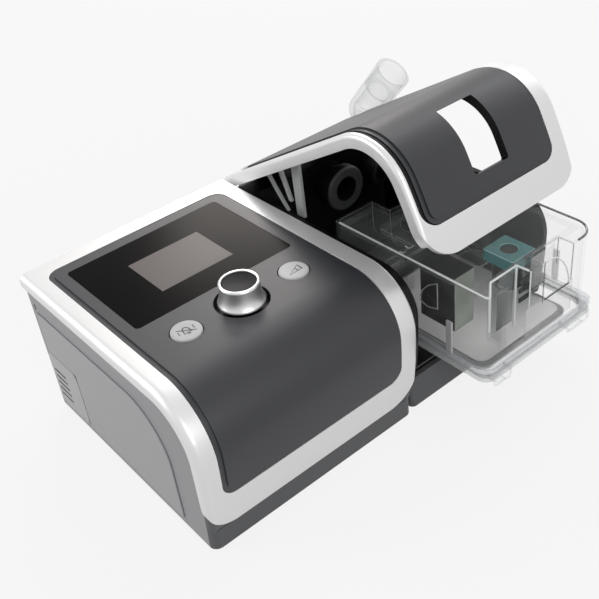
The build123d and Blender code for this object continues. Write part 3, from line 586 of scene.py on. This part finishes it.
makeDial()
print("dial made")

# the two round keys with generic signs: a crossed bell and a rising ramp
buttonSet = {"y": -133.3, "pitch": 41.3, "radius": 9.9, "top": 115.0, "spokes": 72,
             "stem": (2.2, 106.5, 107.9), "collar": (1.4, 109.3, 109.4),
             "crown": ((0, 0.7), (0.2, 0.25), (0.6, 0.05), (1.2, 0)),
             "dish": ((0.6, 0.12), (0.3, 0.2), (0, 0.22))}
# each sign: an outline, its depth under the key's top and its line, then bars of start, end, depth and line
signSet = {
    "mute": ([(-3.4, -2.6), (3.4, -2.6), (2.6, -1.5), (2.5, 1.2), (1.4, 3.0), (0, 3.6), (-1.4, 3.0),
              (-2.5, 1.2), (-2.6, -1.5)], 0.16, 0.42,
             (((-5.2, 3.8), (5.2, -3.8), 0.15, 0.336), ((-1.0, -3.6), (1.0, -3.6), 0.16, 0.42),
              ((-5.6, -1.6), (-4.9, 2.0), 0.14, 0.294), ((4.9, -1.6), (5.6, 2.0), 0.14, 0.294))),
    "ramp": ([(-5.8, -2.7), (5.4, -2.7), (5.4, 3.3)], 0.16, 0.546, (((1.8, -2.6), (1.8, 1.1), 0.15, 0.336),)),
}
printThickness = 0.05


def signOutline(name, points, x, y, height, line):
    # a closed printed strip just proud of the key
    middle = (sum(p[0] for p in points) / len(points), sum(p[1] for p in points) / len(points))
    work = bmesh.new()
    loops = []
    for level in (height, height + printThickness):
        for shrink in (0.0, line):
            loop = []
            for px, py in points:
                away = math.hypot(px - middle[0], py - middle[1])
                keep = max(0.05, 1 - 2.0 * shrink / away)
                loop.append(work.verts.new((x + middle[0] + (px - middle[0]) * keep,
                                            y + middle[1] + (py - middle[1]) * keep, level)))
            loops.append(loop)
    for k in range(len(points)):
        n = (k + 1) % len(points)
        for a, b in ((0, 1), (2, 3), (0, 2), (1, 3)):
            work.faces.new((loops[a][k], loops[a][n], loops[b][n], loops[b][k]))
    bmesh.ops.recalc_face_normals(work, faces=work.faces)
    return fromBmesh(name, work)


def signBar(name, start, end, x, y, height, line):
    across = Vector((end[1] - start[1], start[0] - end[0])).normalized() * line
    outline = [(x + px + side * across[0], y + py + side * across[1])
               for (px, py), side in ((start, -1), (end, -1), (end, 1), (start, 1))]
    return prism(name, outline, height, height + printThickness)


def makeButtons():
    s = buttonSet
    radius, top, y = s["radius"], s["top"], s["y"]
    stem, low, ledge = s["stem"]
    collar, collarTop, seat = s["collar"]
    profile = [(0, low), (stem, low), (stem, ledge), (radius + collar, ledge), (radius + collar, collarTop),
               (radius, seat)]
    profile += [(radius - inward, top - down) for inward, down in s["crown"]]
    profile += [(radius * part, top - down) for part, down in s["dish"]]
    for side, key in ((-1, "mute"), (1, "ramp")):
        x = dialSet["x"] + side * s["pitch"]
        disc = lathe(key + "Key", profile, x, y, s["spokes"])
        finishPiece(disc, key + "_key", "button", angle=50.0, stands=(key + "_button",))
        points, depth, line, bars = signSet[key]
        parts = [signOutline("outline", points, x, y, top - depth, line)]
        parts += [signBar("bar", start, end, x, y, top - under, wide) for start, end, under, wide in bars]
        finishPiece(joinPieces(key + "Sign", parts), key + "_key", "icon")


makeButtons()
print("keys made")

# filter door with grown dark slats behind its slots: painted shade in the openings
doorSet = {"rows": 5, "pitch": 5.6, "start": (0.75, -17.75, 17.2), "slat": (0.5, 16.1, 2.0), "tilt": 0.25}


def slatTree():
    tree, entry = newTree("louvreSlats", (
        ("Rows", "Int", 5), ("Pitch", "Float", 0.0056), ("Start", "Vector", (0, 0, 0)),
        ("Size", "Vector", (0.001, 0.01, 0.001)), ("Tilt", "Float", 0.5)))
    line = addNode(tree, "GeometryNodeMeshLine", {}, {
        "Count": entry.out("Rows"), "Start Location": entry.out("Start"),
        "Offset": vector(tree, 0.0, 0.0, entry.out("Pitch"))})
    slat = addNode(tree, "GeometryNodeMeshCube", {}, {"Size": entry.out("Size")})
    turn = addNode(tree, "FunctionNodeEulerToRotation", {}, {0: vector(tree, 0.0, entry.out("Tilt"), 0.0)})
    rows = addNode(tree, "GeometryNodeInstanceOnPoints", {}, {
        "Points": line, "Instance": slat, "Rotation": turn})
    return endTree(tree, rows, "slotShade")


def makeDoor():
    s = doorSet
    finishPiece(crispCopy("filter_door", "filterDoor"), "filter_door_body", "door", None, 0.25, 2, 30.0,
                ("filter_door",))
    slats = grow("filterSlats", slatTree(), {
        "Rows": s["rows"], "Pitch": s["pitch"] * mm, "Start": at(*s["start"]),
        "Size": tuple(part * mm for part in s["slat"]), "Tilt": s["tilt"]})
    finishPiece(slats, "filter_door_body", "slotShade")


makeDoor()
print("filter door made")

# case screws seen from below, grown on their points
screwSet = {"radius": 3.2, "head": 1.4, "low": 1.6, "shank": 1.9, "reach": 9.0,
            "slot": 0.9, "arm": 3.6, "depth": 1.2}
screwSpots = [(x, y, 0) for x in (22, 148, 188, 296) for y in (-33, -152)]


def screwTree():
    sizes = [(key.capitalize(), "Float", size * mm) for key, size in screwSet.items()]
    tree, entry = newTree("crossScrews", sizes)
    head = addNode(tree, "GeometryNodeMeshCylinder", {}, {
        "Vertices": 24, "Radius": entry.out("Radius"), "Depth": entry.out("Head")})
    slot, arm, depth = entry.out("Slot"), entry.out("Arm"), entry.out("Depth")
    bars = [addNode(tree, "GeometryNodeMeshCube", {}, {"Size": vector(tree, *size, depth)})
            for size in ((slot, arm), (arm, slot))]
    cross = addNode(tree, "GeometryNodeMeshBoolean", {"operation": "UNION"}, {"Mesh 2": bars})
    sunk = lift(tree, cross, entry.out("Head") * -0.5)
    cut = addNode(tree, "GeometryNodeMeshBoolean", {"operation": "DIFFERENCE"}, {
        "Mesh 1": head, "Mesh 2": sunk})
    raised = lift(tree, cut, entry.out("Low") + entry.out("Head") * 0.5)
    span = entry.out("Reach") - entry.out("Low") - entry.out("Head")
    shank = addNode(tree, "GeometryNodeMeshCylinder", {}, {
        "Vertices": 16, "Radius": entry.out("Shank"), "Depth": span})
    lifted = lift(tree, shank, entry.out("Reach") - span * 0.5)
    whole = addNode(tree, "GeometryNodeJoinGeometry", {}, {"Geometry": [raised, lifted]})
    placed = addNode(tree, "GeometryNodeInstanceOnPoints", {}, {"Points": entry, "Instance": whole})
    return endTree(tree, placed, "metal")


def makeScrews():
    values = {key.capitalize(): size * mm for key, size in screwSet.items()}
    screws = grow("caseScrewRow", screwTree(), values, screwSpots)
    finishPiece(screws, "machine", "metal", stands=("case_screws",))


makeScrews()
print("screws made")

# the clear water tub: walls with two grip pockets, and a socket in the rear wall for each air port
tubSet = {"left": 197.0, "right": 306.0, "rear": -92.0, "front": -232.0, "low": 32.6, "rim": 101.0,
          "wall": 2.0, "corners": (2.0, 10.0, 16.0, 2.0), "floor": (209, 294, -218, -109), "floorCorner": 8,
          "pocketBack": -219.7, "pocketOne": (214.5, 236.5, 55.0), "pocketTwo": (252.0, 280.0, 70.0),
          "portX": 252.7, "portZ": 83.7, "portHalf": 19.3, "portDeep": 18.3, "portHole": 9.5,
          "returnX": 294.0, "returnZ": 78.0, "returnHalf": 10.2, "returnDeep": 14.3, "returnHole": 5.0}
past = 5.0  # how far a cutting tool reaches past what it cuts


def dressTub(piece, finish, edgeFinish=None, rounding=0.0, stands=()):
    return finishPiece(piece, "water_tub", finish, edgeFinish, rounding, 1, 30.0, stands)


def tubPlan(inset, steps=7):
    s = tubSet
    radii = tuple(max(0.0, r - inset) for r in s["corners"])
    return roundedPlan(s["left"] + inset, s["right"] - inset, s["front"] + inset, s["rear"] - inset,
                       radii, steps)


def pocketTools(spread, low=None, high=None):
    # boxes as large as the grip pockets and their spread
    s = tubSet
    return [box("pocketCut", x0 - spread, x1 + spread, s["front"] - past, s["pocketBack"] + spread,
                z - spread if low is None else low, s["rim"] + 20 if high is None else high)
            for x0, x1, z in (s["pocketOne"], s["pocketTwo"])]


def portTools(spread):
    s = tubSet
    half, deep = s["portHalf"] + spread, s["rear"] - s["portDeep"] - spread
    out = s["rear"] + past
    return [drumY("portCut", s["portX"], deep, out, s["portZ"], half),
            box("portSlot", s["portX"] - half, s["portX"] + half, deep, out, s["portZ"], s["rim"] + 12),
            drumY("returnCut", s["returnX"], s["rear"] - s["returnDeep"] - spread, out, s["returnZ"],
                  s["returnHalf"] + spread)]


def makeTub():
    s = tubSet
    wall = s["wall"]
    outer = carve(prism("hollow", tubPlan(0.0), s["low"], s["rim"]), pocketTools(0.0))
    inner = carve(prism("hollow", tubPlan(wall), s["low"] + wall, s["rim"] + 10), pocketTools(wall))
    walls = carve(outer, [carve(inner, portTools(wall))] + portTools(0.0))
    walls = carve(walls, [
        box("floorCut", *s["floor"], s["low"] - past, s["low"] + past, s["floorCorner"]),
        drumY("airHole", s["portX"], s["rear"] - s["portDeep"] - past, s["rear"], s["portZ"], s["portHole"]),
        drumY("returnHole", s["returnX"], s["rear"] - s["returnDeep"] - past, s["rear"], s["returnZ"],
              s["returnHole"])])
    walls.name = "tubWalls"
    # the walls' rounded edges carry painted highlights
    dressTub(walls, "clear", "clearEdgeHighlight", 0.6, ("tub_body",))


# the double flange: each ring as bottom, top and inset; the tabs that hang from it
flangeSet = {"frame": (194.4, 308.1, -234.5, -92.0), "corner": 9, "hole": 1.0,
             "rings": {"tubFlange": (((37.2, 41.5, 1.0), (41.5, 43.5, 0.0)), "clearFlange"),
                       "tubFlangeLip": (((34.0, 36.6, 0.4), (36.6, 37.2, 1.6)), "clearLip")}}
tabSet = {"spans": ((203.0, 221.0), (279.0, 304.0)), "foot": 26.0, "under": 34.0, "head": 35.0,
          "front": -233.5, "back": -226.0, "corner": 5, "plate": 1.4, "side": 1.3}


def makeFlange():
    s = flangeSet
    x0, x1, y0, y1 = s["frame"]
    for name, (levels, finish) in s["rings"].items():
        rings = []
        for bottom, top, inset in levels:
            ring = box(name, x0 + inset, x1 - inset, y0 + inset, y1 - inset, bottom, top, s["corner"] - inset)
            rings.append(carve(ring, [prism("flangeHole", tubPlan(s["hole"]), bottom - 1, top + 1)]))
        dressTub(joinPieces(name, rings), finish, "clearEdgeHighlight", 0.3)


def makeTabs():
    s = tabSet
    foot, corner, inside = s["foot"], s["corner"], s["front"] + s["plate"]
    turns = [(corner - corner * math.cos(math.radians(a)), corner - corner * math.sin(math.radians(a)))
             for a in (30, 60, 90)]
    tabs = []
    for left, right in s["spans"]:
        outline = [(left, s["head"]), (left, foot + corner)] + [(left + x, foot + z) for x, z in turns]
        outline += [(right - x, foot + z) for x, z in reversed(turns)]
        outline += [(right, foot + corner), (right, s["head"])]
        tabs.append(prismY("tab", outline, s["front"], inside))
        tabs += [box("tabSide", edge, edge + s["side"], inside, s["back"], foot + corner, s["under"])
                 for edge in (left, right - s["side"])]
        tabs.append(box("tabFoot", left + corner, right - corner, inside, s["back"], foot, foot + s["side"]))
    dressTub(joinPieces("tubTabs", tabs), "clear", "clearEdgeHighlight", 0.3)


# what is in the tub; boxes as x, x, y, y, then their heights
lidSet = {"low": 97.6, "high": 99.4, "gap": 0.3, "pocketGap": 2.4, "pocketSpan": (90, 110),
          "fields": ((208.0, 244.0, -168.0, -124.0), (262.0, 296.0, -168.0, -130.0)), "fieldTop": 103.5,
          "fieldCorner": 4, "fieldWall": 2, "fieldRoof": 1.7, "roomLow": 90, "roomCorner": 2.5}
innerSet = {"under": 97.4, "chamber": (203.0, 222.0, -199.0, -168.0, 55.0), "chamberWall": 1.6,
            "chamberCorner": 1.0, "posts": ((203.5, 206.5, -153.0, -149.0), (210.0, 214.0, -152.0, -147.5)),
            "postLow": 62.0, "postCorner": 0.6, "tube": (279.0, -149.0, 12.0, 52.0), "tubeWall": 1.6}
valveSet = {"x": 253.0, "y": -201.2, "half": (11.5, 12.8), "low": 88.5, "corner": 1.5, "hole": 6.0,
            "cage": 10.5, "cageLow": 70.0, "cageRound": 1, "cageLip": (0.5, 0.1), "cageDish": 4.5,
            "float": (0.4, 2.5, 1.0)}


def fieldRooms():
    # the hollows under the lid's raised fields
    s = lidSet
    wall, top = s["fieldWall"], s["fieldTop"] - s["fieldRoof"]
    return [box("fieldRoom", x0 + wall, x1 - wall, y0 + wall, y1 - wall, s["roomLow"], top, s["roomCorner"])
            for x0, x1, y0, y1 in s["fields"]]


def makeTubLid():
    s = lidSet
    inset = tubSet["wall"] + s["gap"]
    parts = [carve(prism("tubLid", tubPlan(inset), s["low"], s["high"]),
                   portTools(inset) + fieldRooms() + pocketTools(s["pocketGap"], *s["pocketSpan"]))]
    for field, room in zip(s["fields"], fieldRooms()):
        parts.append(carve(box("field", *field, s["high"], s["fieldTop"], s["fieldCorner"]), [room]))
    dressTub(joinPieces("tubLid", parts), "clearCover", "clearEdgeHighlight", 0.25, ("tub_cover",))


def makeTubInside():
    s, v = innerSet, valveSet
    under = s["under"]
    x0, x1, y0, y1, foot = s["chamber"]
    wall = s["chamberWall"]
    # the air chamber as a dark box of painted shade; its front faces are painted lighter, as lit
    room = box("chamberRoom", x0 + wall, x1 - wall, y0 + wall, y1 - wall, foot - past, under - wall)
    chamber = carve(box("airChamber", x0, x1, y0, y1, foot, under, s["chamberCorner"]), [room])
    dressTub(chamber, "clearShadeDark", None, 0.3)
    paintFaces(chamber, "clearLitFace", lambda face: face.normal.y < -0.7)
    x, y, radius, foot = s["tube"]
    inside = radius - s["tubeWall"]
    profile = [(radius, under), (radius, foot), (inside, foot), (inside, under), (radius, under)]
    tube = lathe("airTube", profile, x, y, 40)
    posts = [box("post", *spot, s["postLow"], under, s["postCorner"]) for spot in s["posts"]]
    dressTub(joinPieces("tubPosts", [tube] + posts), "clear", "clearEdgeHighlight", 0.3, ("tub_baffles",))
    # the square valve head, a round cage below it, and a dark disc in the head's hole as painted shade
    x, y, hole, low = v["x"], v["y"], v["hole"], v["low"]
    halfX, halfY = v["half"]
    bore = lathe("valveHole", [(0, low - 2), (hole, low - 2), (hole, under + 2), (0, under + 2)], x, y, 32)
    head = box("valveHead", x - halfX, x + halfX, y - halfY, y + halfY, low, under, v["corner"])
    dressTub(carve(head, [bore]), "clearTeal", "tealEdgeHighlight", 0.4, ("tub_valve",))
    outer, cageLow, turn = v["cage"], v["cageLow"], v["cageRound"]
    lip, gap = v["cageLip"]
    dish = low - v["cageDish"]
    profile = [(0, cageLow), (outer - turn, cageLow), (outer, cageLow + turn), (outer, low - gap),
               (hole + lip, low - gap), (hole, dish), (0, dish)]
    dressTub(lathe("valveCage", profile, x, y, 48), "deck")
    # a dark disc in the hole: painted shade
    play, down, up = v["float"]
    plug = lathe("valveHoleShade", [(0, under - down), (hole - play, under - down), (hole - play, under - up),
                                (0, under - up)], x, y, 32)
    finishPiece(plug, "water_tub", "deck")


# strands along the tub's edges: points, radius and finish; the pale strands are painted highlights, the dark
# ones painted shade
trimSet = {
    "rimLeft": (((197.9, -96.0, 100.7), (197.9, -229.0, 100.7), (199.5, -230.6, 100.7),
                 (211.5, -220.6, 100.9), (236.8, -220.4, 100.9), (237.3, -230.0, 100.9)), 0.75, "clearEdgeHighlight"),
    "pocketLeft": (((211.5, -220.6, 62.0), (211.5, -220.6, 100.9)), 0.9, "clearEdgeHighlight"),
    "pocketRight": (((237.0, -220.4, 50.0), (237.0, -220.4, 100.9)), 0.8, "clearEdgeHighlight"),
    "frontPost": (((237.4, -231.4, 74.0), (237.4, -231.4, 100.9)), 0.5, "clearEdgeHighlight"),
    "pocketTwoLeft": (((251.2, -231.6, 69.0), (251.2, -231.6, 100.9)), 0.35, "edgeShade"),
    "pocketTwoBack": (((280.2, -219.9, 80.0), (280.2, -219.9, 100.0)), 0.3, "edgeShade"),
    "pocketTwoRight": (((280.6, -231.6, 72.0), (280.6, -231.6, 100.5)), 0.35, "edgeShade"),
    "pocketTwoRim": (((280.6, -231.4, 100.9), (280.2, -220.0, 100.9), (266.0, -220.0, 100.9)),
                     0.5, "clearEdgeHighlight"),
    "arc": (((252.5, -231.8, 101.0), (258.0, -231.8, 100.6), (264.0, -231.8, 98.0), (270.0, -231.8, 92.0),
             (274.5, -231.8, 85.0), (277.4, -231.8, 77.0), (278.4, -231.8, 71.0)), 0.5, "clearEdgeHighlight"),
    "step": (((253.0, -231.8, 70.5), (279.0, -231.8, 70.5)), 0.5, "rimShade"),
    "grip": (((199.6, -170.6, 71.5), (199.6, -173.4, 79.0), (199.6, -178.9, 85.5), (199.6, -187.0, 90.5),
              (199.6, -187.0, 70.0), (199.6, -178.5, 67.5), (199.6, -171.6, 69.5), (199.6, -170.6, 71.5)),
             0.4, "clearLip"),
}
# thin panes inside the tub: box sizes, then the finish
paneSet = {
    "pocketTwoPane": ((253.5, 278.5, -219.2, -218.6, 72.0, 96.5), "clearMist"),
    # a grey sheet on the back wall of the first pocket: painted shade
    "pocketPane": ((221.0, 236.0, -219.2, -218.6, 56.0, 98.0), "paneShade"),
    "slatTop": ((238.8, 249.6, -222.4, -221.6, 85.5, 88.9), "deck"),
    "slatMiddle": ((238.8, 249.6, -222.4, -221.6, 78.0, 81.4), "deck"),
    "slatLow": ((238.8, 249.6, -222.4, -221.6, 70.5, 73.9), "deck"),
}


# a line of painted shade round the front right corner of the rim, from its side to its front
rimShadeSet = {"side": (305.3, -150.0), "front": (286.0, -231.3), "inset": 0.7, "down": 0.3, "radius": 0.8}
# haze on the inside of the front wall, between the pockets
mistSet = {"span": (44.0, 69.0), "outside": 2.4, "inside": 3.0,
           "leftOut": ((150, 237, -240, -80), (286, 330, -240, -80), (150, 330, -212, -80))}


def makeTubTrim():
    s = rimShadeSet
    height = tubSet["rim"] - s["down"]
    side, front = s["side"], s["front"]
    corner = [(x, y, height) for x, y in tubPlan(s["inset"], 10) if x > front[0] and y < side[1]]
    line = [(*side, height)] + list(reversed(corner)) + [(*front, height)]
    # the painted shade line on the rim
    finishPiece(wireTube("tubRimShade", line, s["radius"]), "water_tub", "rimShade")
    for name, (points, radius, finish) in trimSet.items():
        finishPiece(wireTube(name + "Line", points, radius), "water_tub", finish)
    s = mistSet
    low, high = s["span"]
    away = [box("mistCut", *spot, low - 2, high + 2) for spot in s["leftOut"]]
    mist = carve(prism("frontMist", tubPlan(s["outside"]), low, high),
                 [prism("mistRoom", tubPlan(s["inside"]), low - 1, high + 1)] + away)
    finishPiece(mist, "water_tub", "clearMist")
    for name, (sizes, finish) in paneSet.items():
        finishPiece(box(name, *sizes), "water_tub", finish)
    dressTub(crispCopy("tub_gasket", "tubSeal"), "clearSeal", None, 0.2, ("tub_gasket",))
    clips = crispCopy("tub_clips", "tubClips")
    finishPiece(clips, "water_tub", "button", None, 0.4, 2, 30.0, ("tub_clips",))
    # the clips on the right are seen through the tub and are clear
    middle = at((tubSet["left"] + tubSet["right"]) / 2, 0, 0).x
    paintFaces(clips, "clearLip", lambda face: face.center.x > middle)


makeTub()
makeFlange()
makeTabs()
makeTubLid()
makeTubInside()
makeTubTrim()
print("water tub made")

# the clear outlet elbow, with painted shade in dark grey on its rounded edges
finishPiece(crispCopy("outlet_elbow", "outletElbow"), "elbow", "elbowClear", "elbowEdgeShade", 0.5, 1, 34.0,
            ("outlet_elbow",))
print("elbow made")

# the port's seal: grey rubber towards the tub, with painted shade in black on its sides
portSeal = crispCopy("port_seal", "portSeal")
finishPiece(portSeal, "machine", "rubber", None, 0.4, 2, 30.0, ("port_seal",))
# the faces turned away from the tub are painted black as shade
paintFaces(portSeal, "blackRubberAndShade", lambda face: face.normal.y >= -0.35)

# CAD nodes that show as they are
nodeFinish = {
    "deck": ("docking_hooks", "display_module", "port_nozzle"),
    "blackRubberAndShade": ("return_seal", "rubber_feet", "blower_mounts"),
    "inner": ("blower_housing", "blower_cap", "impeller", "outlet_duct", "crossover_duct", "card_reader",
              "power_socket", "rotary_encoder", "button_switches", "memory_card"),
    "board": ("control_board", "main_board", "heater_board"),
    "foam": ("air_filter", "sound_foam"),
    "metal": ("hinge_pins", "encoder_shaft", "blower_motor"),
    "plateMetal": ("heater_plate",),
    "tubPlate": ("tub_base_plate",),
}
for finish, names in nodeFinish.items():
    for name in names:
        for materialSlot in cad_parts[name].material_slots:
            materialSlot.material = materials[finish]
print("inner parts dressed")

# floor, lights and camera
# shade is the share of the floor that takes shadow; the rest shows white
floorSet = {"half": 6.0, "shade": 0.15, "colour": (0.52, 0.52, 0.52, 1), "roughness": 0.9}
worldSet = {"low": 0.10, "rise": 0.40, "seen": 1.0}
# each lamp: place, target, size, power and colour
lampSet = {
    "topLight": ((0.76, 0.55, 1.40), (0, 0, 0.06), (1.0, 0.6), 5.5, (1, 1, 1)),
    "leftLight": ((-1.3, 0.95, 0.80), (0, 0, 0.06), (1.0, 1.0), 12.5, (1, 1, 1)),
    "rightLight": ((1.5, 0.1, 0.9), (0.1, 0, 0.08), (0.8, 0.8), 4, (1, 1, 1)),
    "frontLight": ((-0.35, -1.5, 0.85), (0.05, 0, 0.05), (0.9, 0.7), 10, (1, 1, 1)),
    "stripLight": ((0.83, 1.25, 0.93), (-0.03, 0.0, 0.11), (0.48, 0.32), 5.6, (1, 0.93, 0.88)),
}


def seenRays(tree):
    # rays of the camera, and of what gloss and clear pieces show
    ray = addNode(tree, "ShaderNodeLightPath", output="Is Camera Ray")
    return (ray + ray.out("Is Glossy Ray") + ray.out("Is Transmission Ray")) > 0.5


def makeFloor():
    half = floorSet["half"]
    mesh = bpy.data.meshes.new("floor")
    corners = [(-half, -half, 0), (half, -half, 0), (half, half, 0), (-half, half, 0)]
    mesh.from_pydata(corners, [], [(0, 1, 2, 3)])
    floor = bpy.data.objects.new("floor", mesh)
    bpy.context.collection.objects.link(floor)
    material, tree, shader = newMaterial("paleFloor")
    setShader(tree, shader, Base_Color=floorSet["colour"], Roughness=floorSet["roughness"])
    seen = seenRays(tree)
    glow = addNode(tree, "ShaderNodeEmission", {}, {"Color": (1, 1, 1, 1), "Strength": 1.0})
    painted = Wire(tree, shader.outputs[0])
    blend = addNode(tree, "ShaderNodeMixShader", {}, {0: seen * (1 - floorSet["shade"]), 1: painted, 2: glow})
    tree.links.new(blend.socket, tree.nodes["Material Output"].inputs["Surface"])
    mesh.materials.append(material)


def makeWorld():
    world = bpy.data.worlds.new("paleRoom")
    bpy.context.scene.world = world
    world.use_nodes = True
    tree = world.node_tree
    background = tree.nodes["Background"]
    seen = seenRays(tree)
    background.inputs["Color"].default_value = (1, 1, 1, 1)
    # the room's own light falls from above, darker towards the horizon
    way = addNode(tree, "ShaderNodeTexCoord", output="Generated")
    height = addNode(tree, "ShaderNodeSeparateXYZ", {}, {0: way}, "Z")
    room = height.maths("MAXIMUM", height, 0.0) * worldSet["rise"] + worldSet["low"]
    tree.links.new((seen * worldSet["seen"] + (1 - seen) * room).socket, background.inputs["Strength"])


def makeLamps():
    for name, (place, target, size, power, colour) in lampSet.items():
        light = bpy.data.lights.new(name, "AREA")
        light.shape = "RECTANGLE"
        light.size, light.size_y = size
        light.energy = power
        light.color = colour
        lamp = bpy.data.objects.new(name, light)
        lamp.location = place
        lamp.rotation_euler = (Vector(target) - Vector(place)).to_track_quat("-Z", "Y").to_euler()
        bpy.context.collection.objects.link(lamp)


# angles in degrees, the focal length in the photo's pixels, the place in layout millimetres
cameraSet = {"azimuth": -35.96, "elevation": 36.142, "roll": -7.145, "focalPixels": 917.52, "pixels": 599,
             "place": (-153.253, -521.030, 440.530), "sensor": 36.0, "near": 0.01, "far": 40}


def makeCamera():
    s = cameraSet
    data = bpy.data.cameras.new("photoCamera")
    data.sensor_fit = "HORIZONTAL"
    data.sensor_width = s["sensor"]
    data.lens = s["focalPixels"] / s["pixels"] * s["sensor"]
    data.clip_start, data.clip_end = s["near"], s["far"]
    camera = bpy.data.objects.new("photoCamera", data)
    azimuth, elevation, roll = (math.radians(s[key]) for key in ("azimuth", "elevation", "roll"))
    forward = Vector((-math.sin(azimuth) * math.cos(elevation), math.cos(azimuth) * math.cos(elevation),
                      -math.sin(elevation)))
    right = Vector((math.cos(azimuth), math.sin(azimuth), 0))
    up = right.cross(forward)
    turnedRight = right * math.cos(roll) + up * math.sin(roll)
    turnedUp = up * math.cos(roll) - right * math.sin(roll)
    matrix = Matrix((turnedRight, turnedUp, -forward)).transposed().to_4x4()
    matrix.translation = at(*s["place"])
    camera.matrix_world = matrix
    bpy.context.collection.objects.link(camera)
    bpy.context.scene.camera = camera


makeFloor()
makeWorld()
makeLamps()
makeCamera()
bpy.context.scene.view_settings.view_transform = "Standard"
print("floor, lights and camera placed")
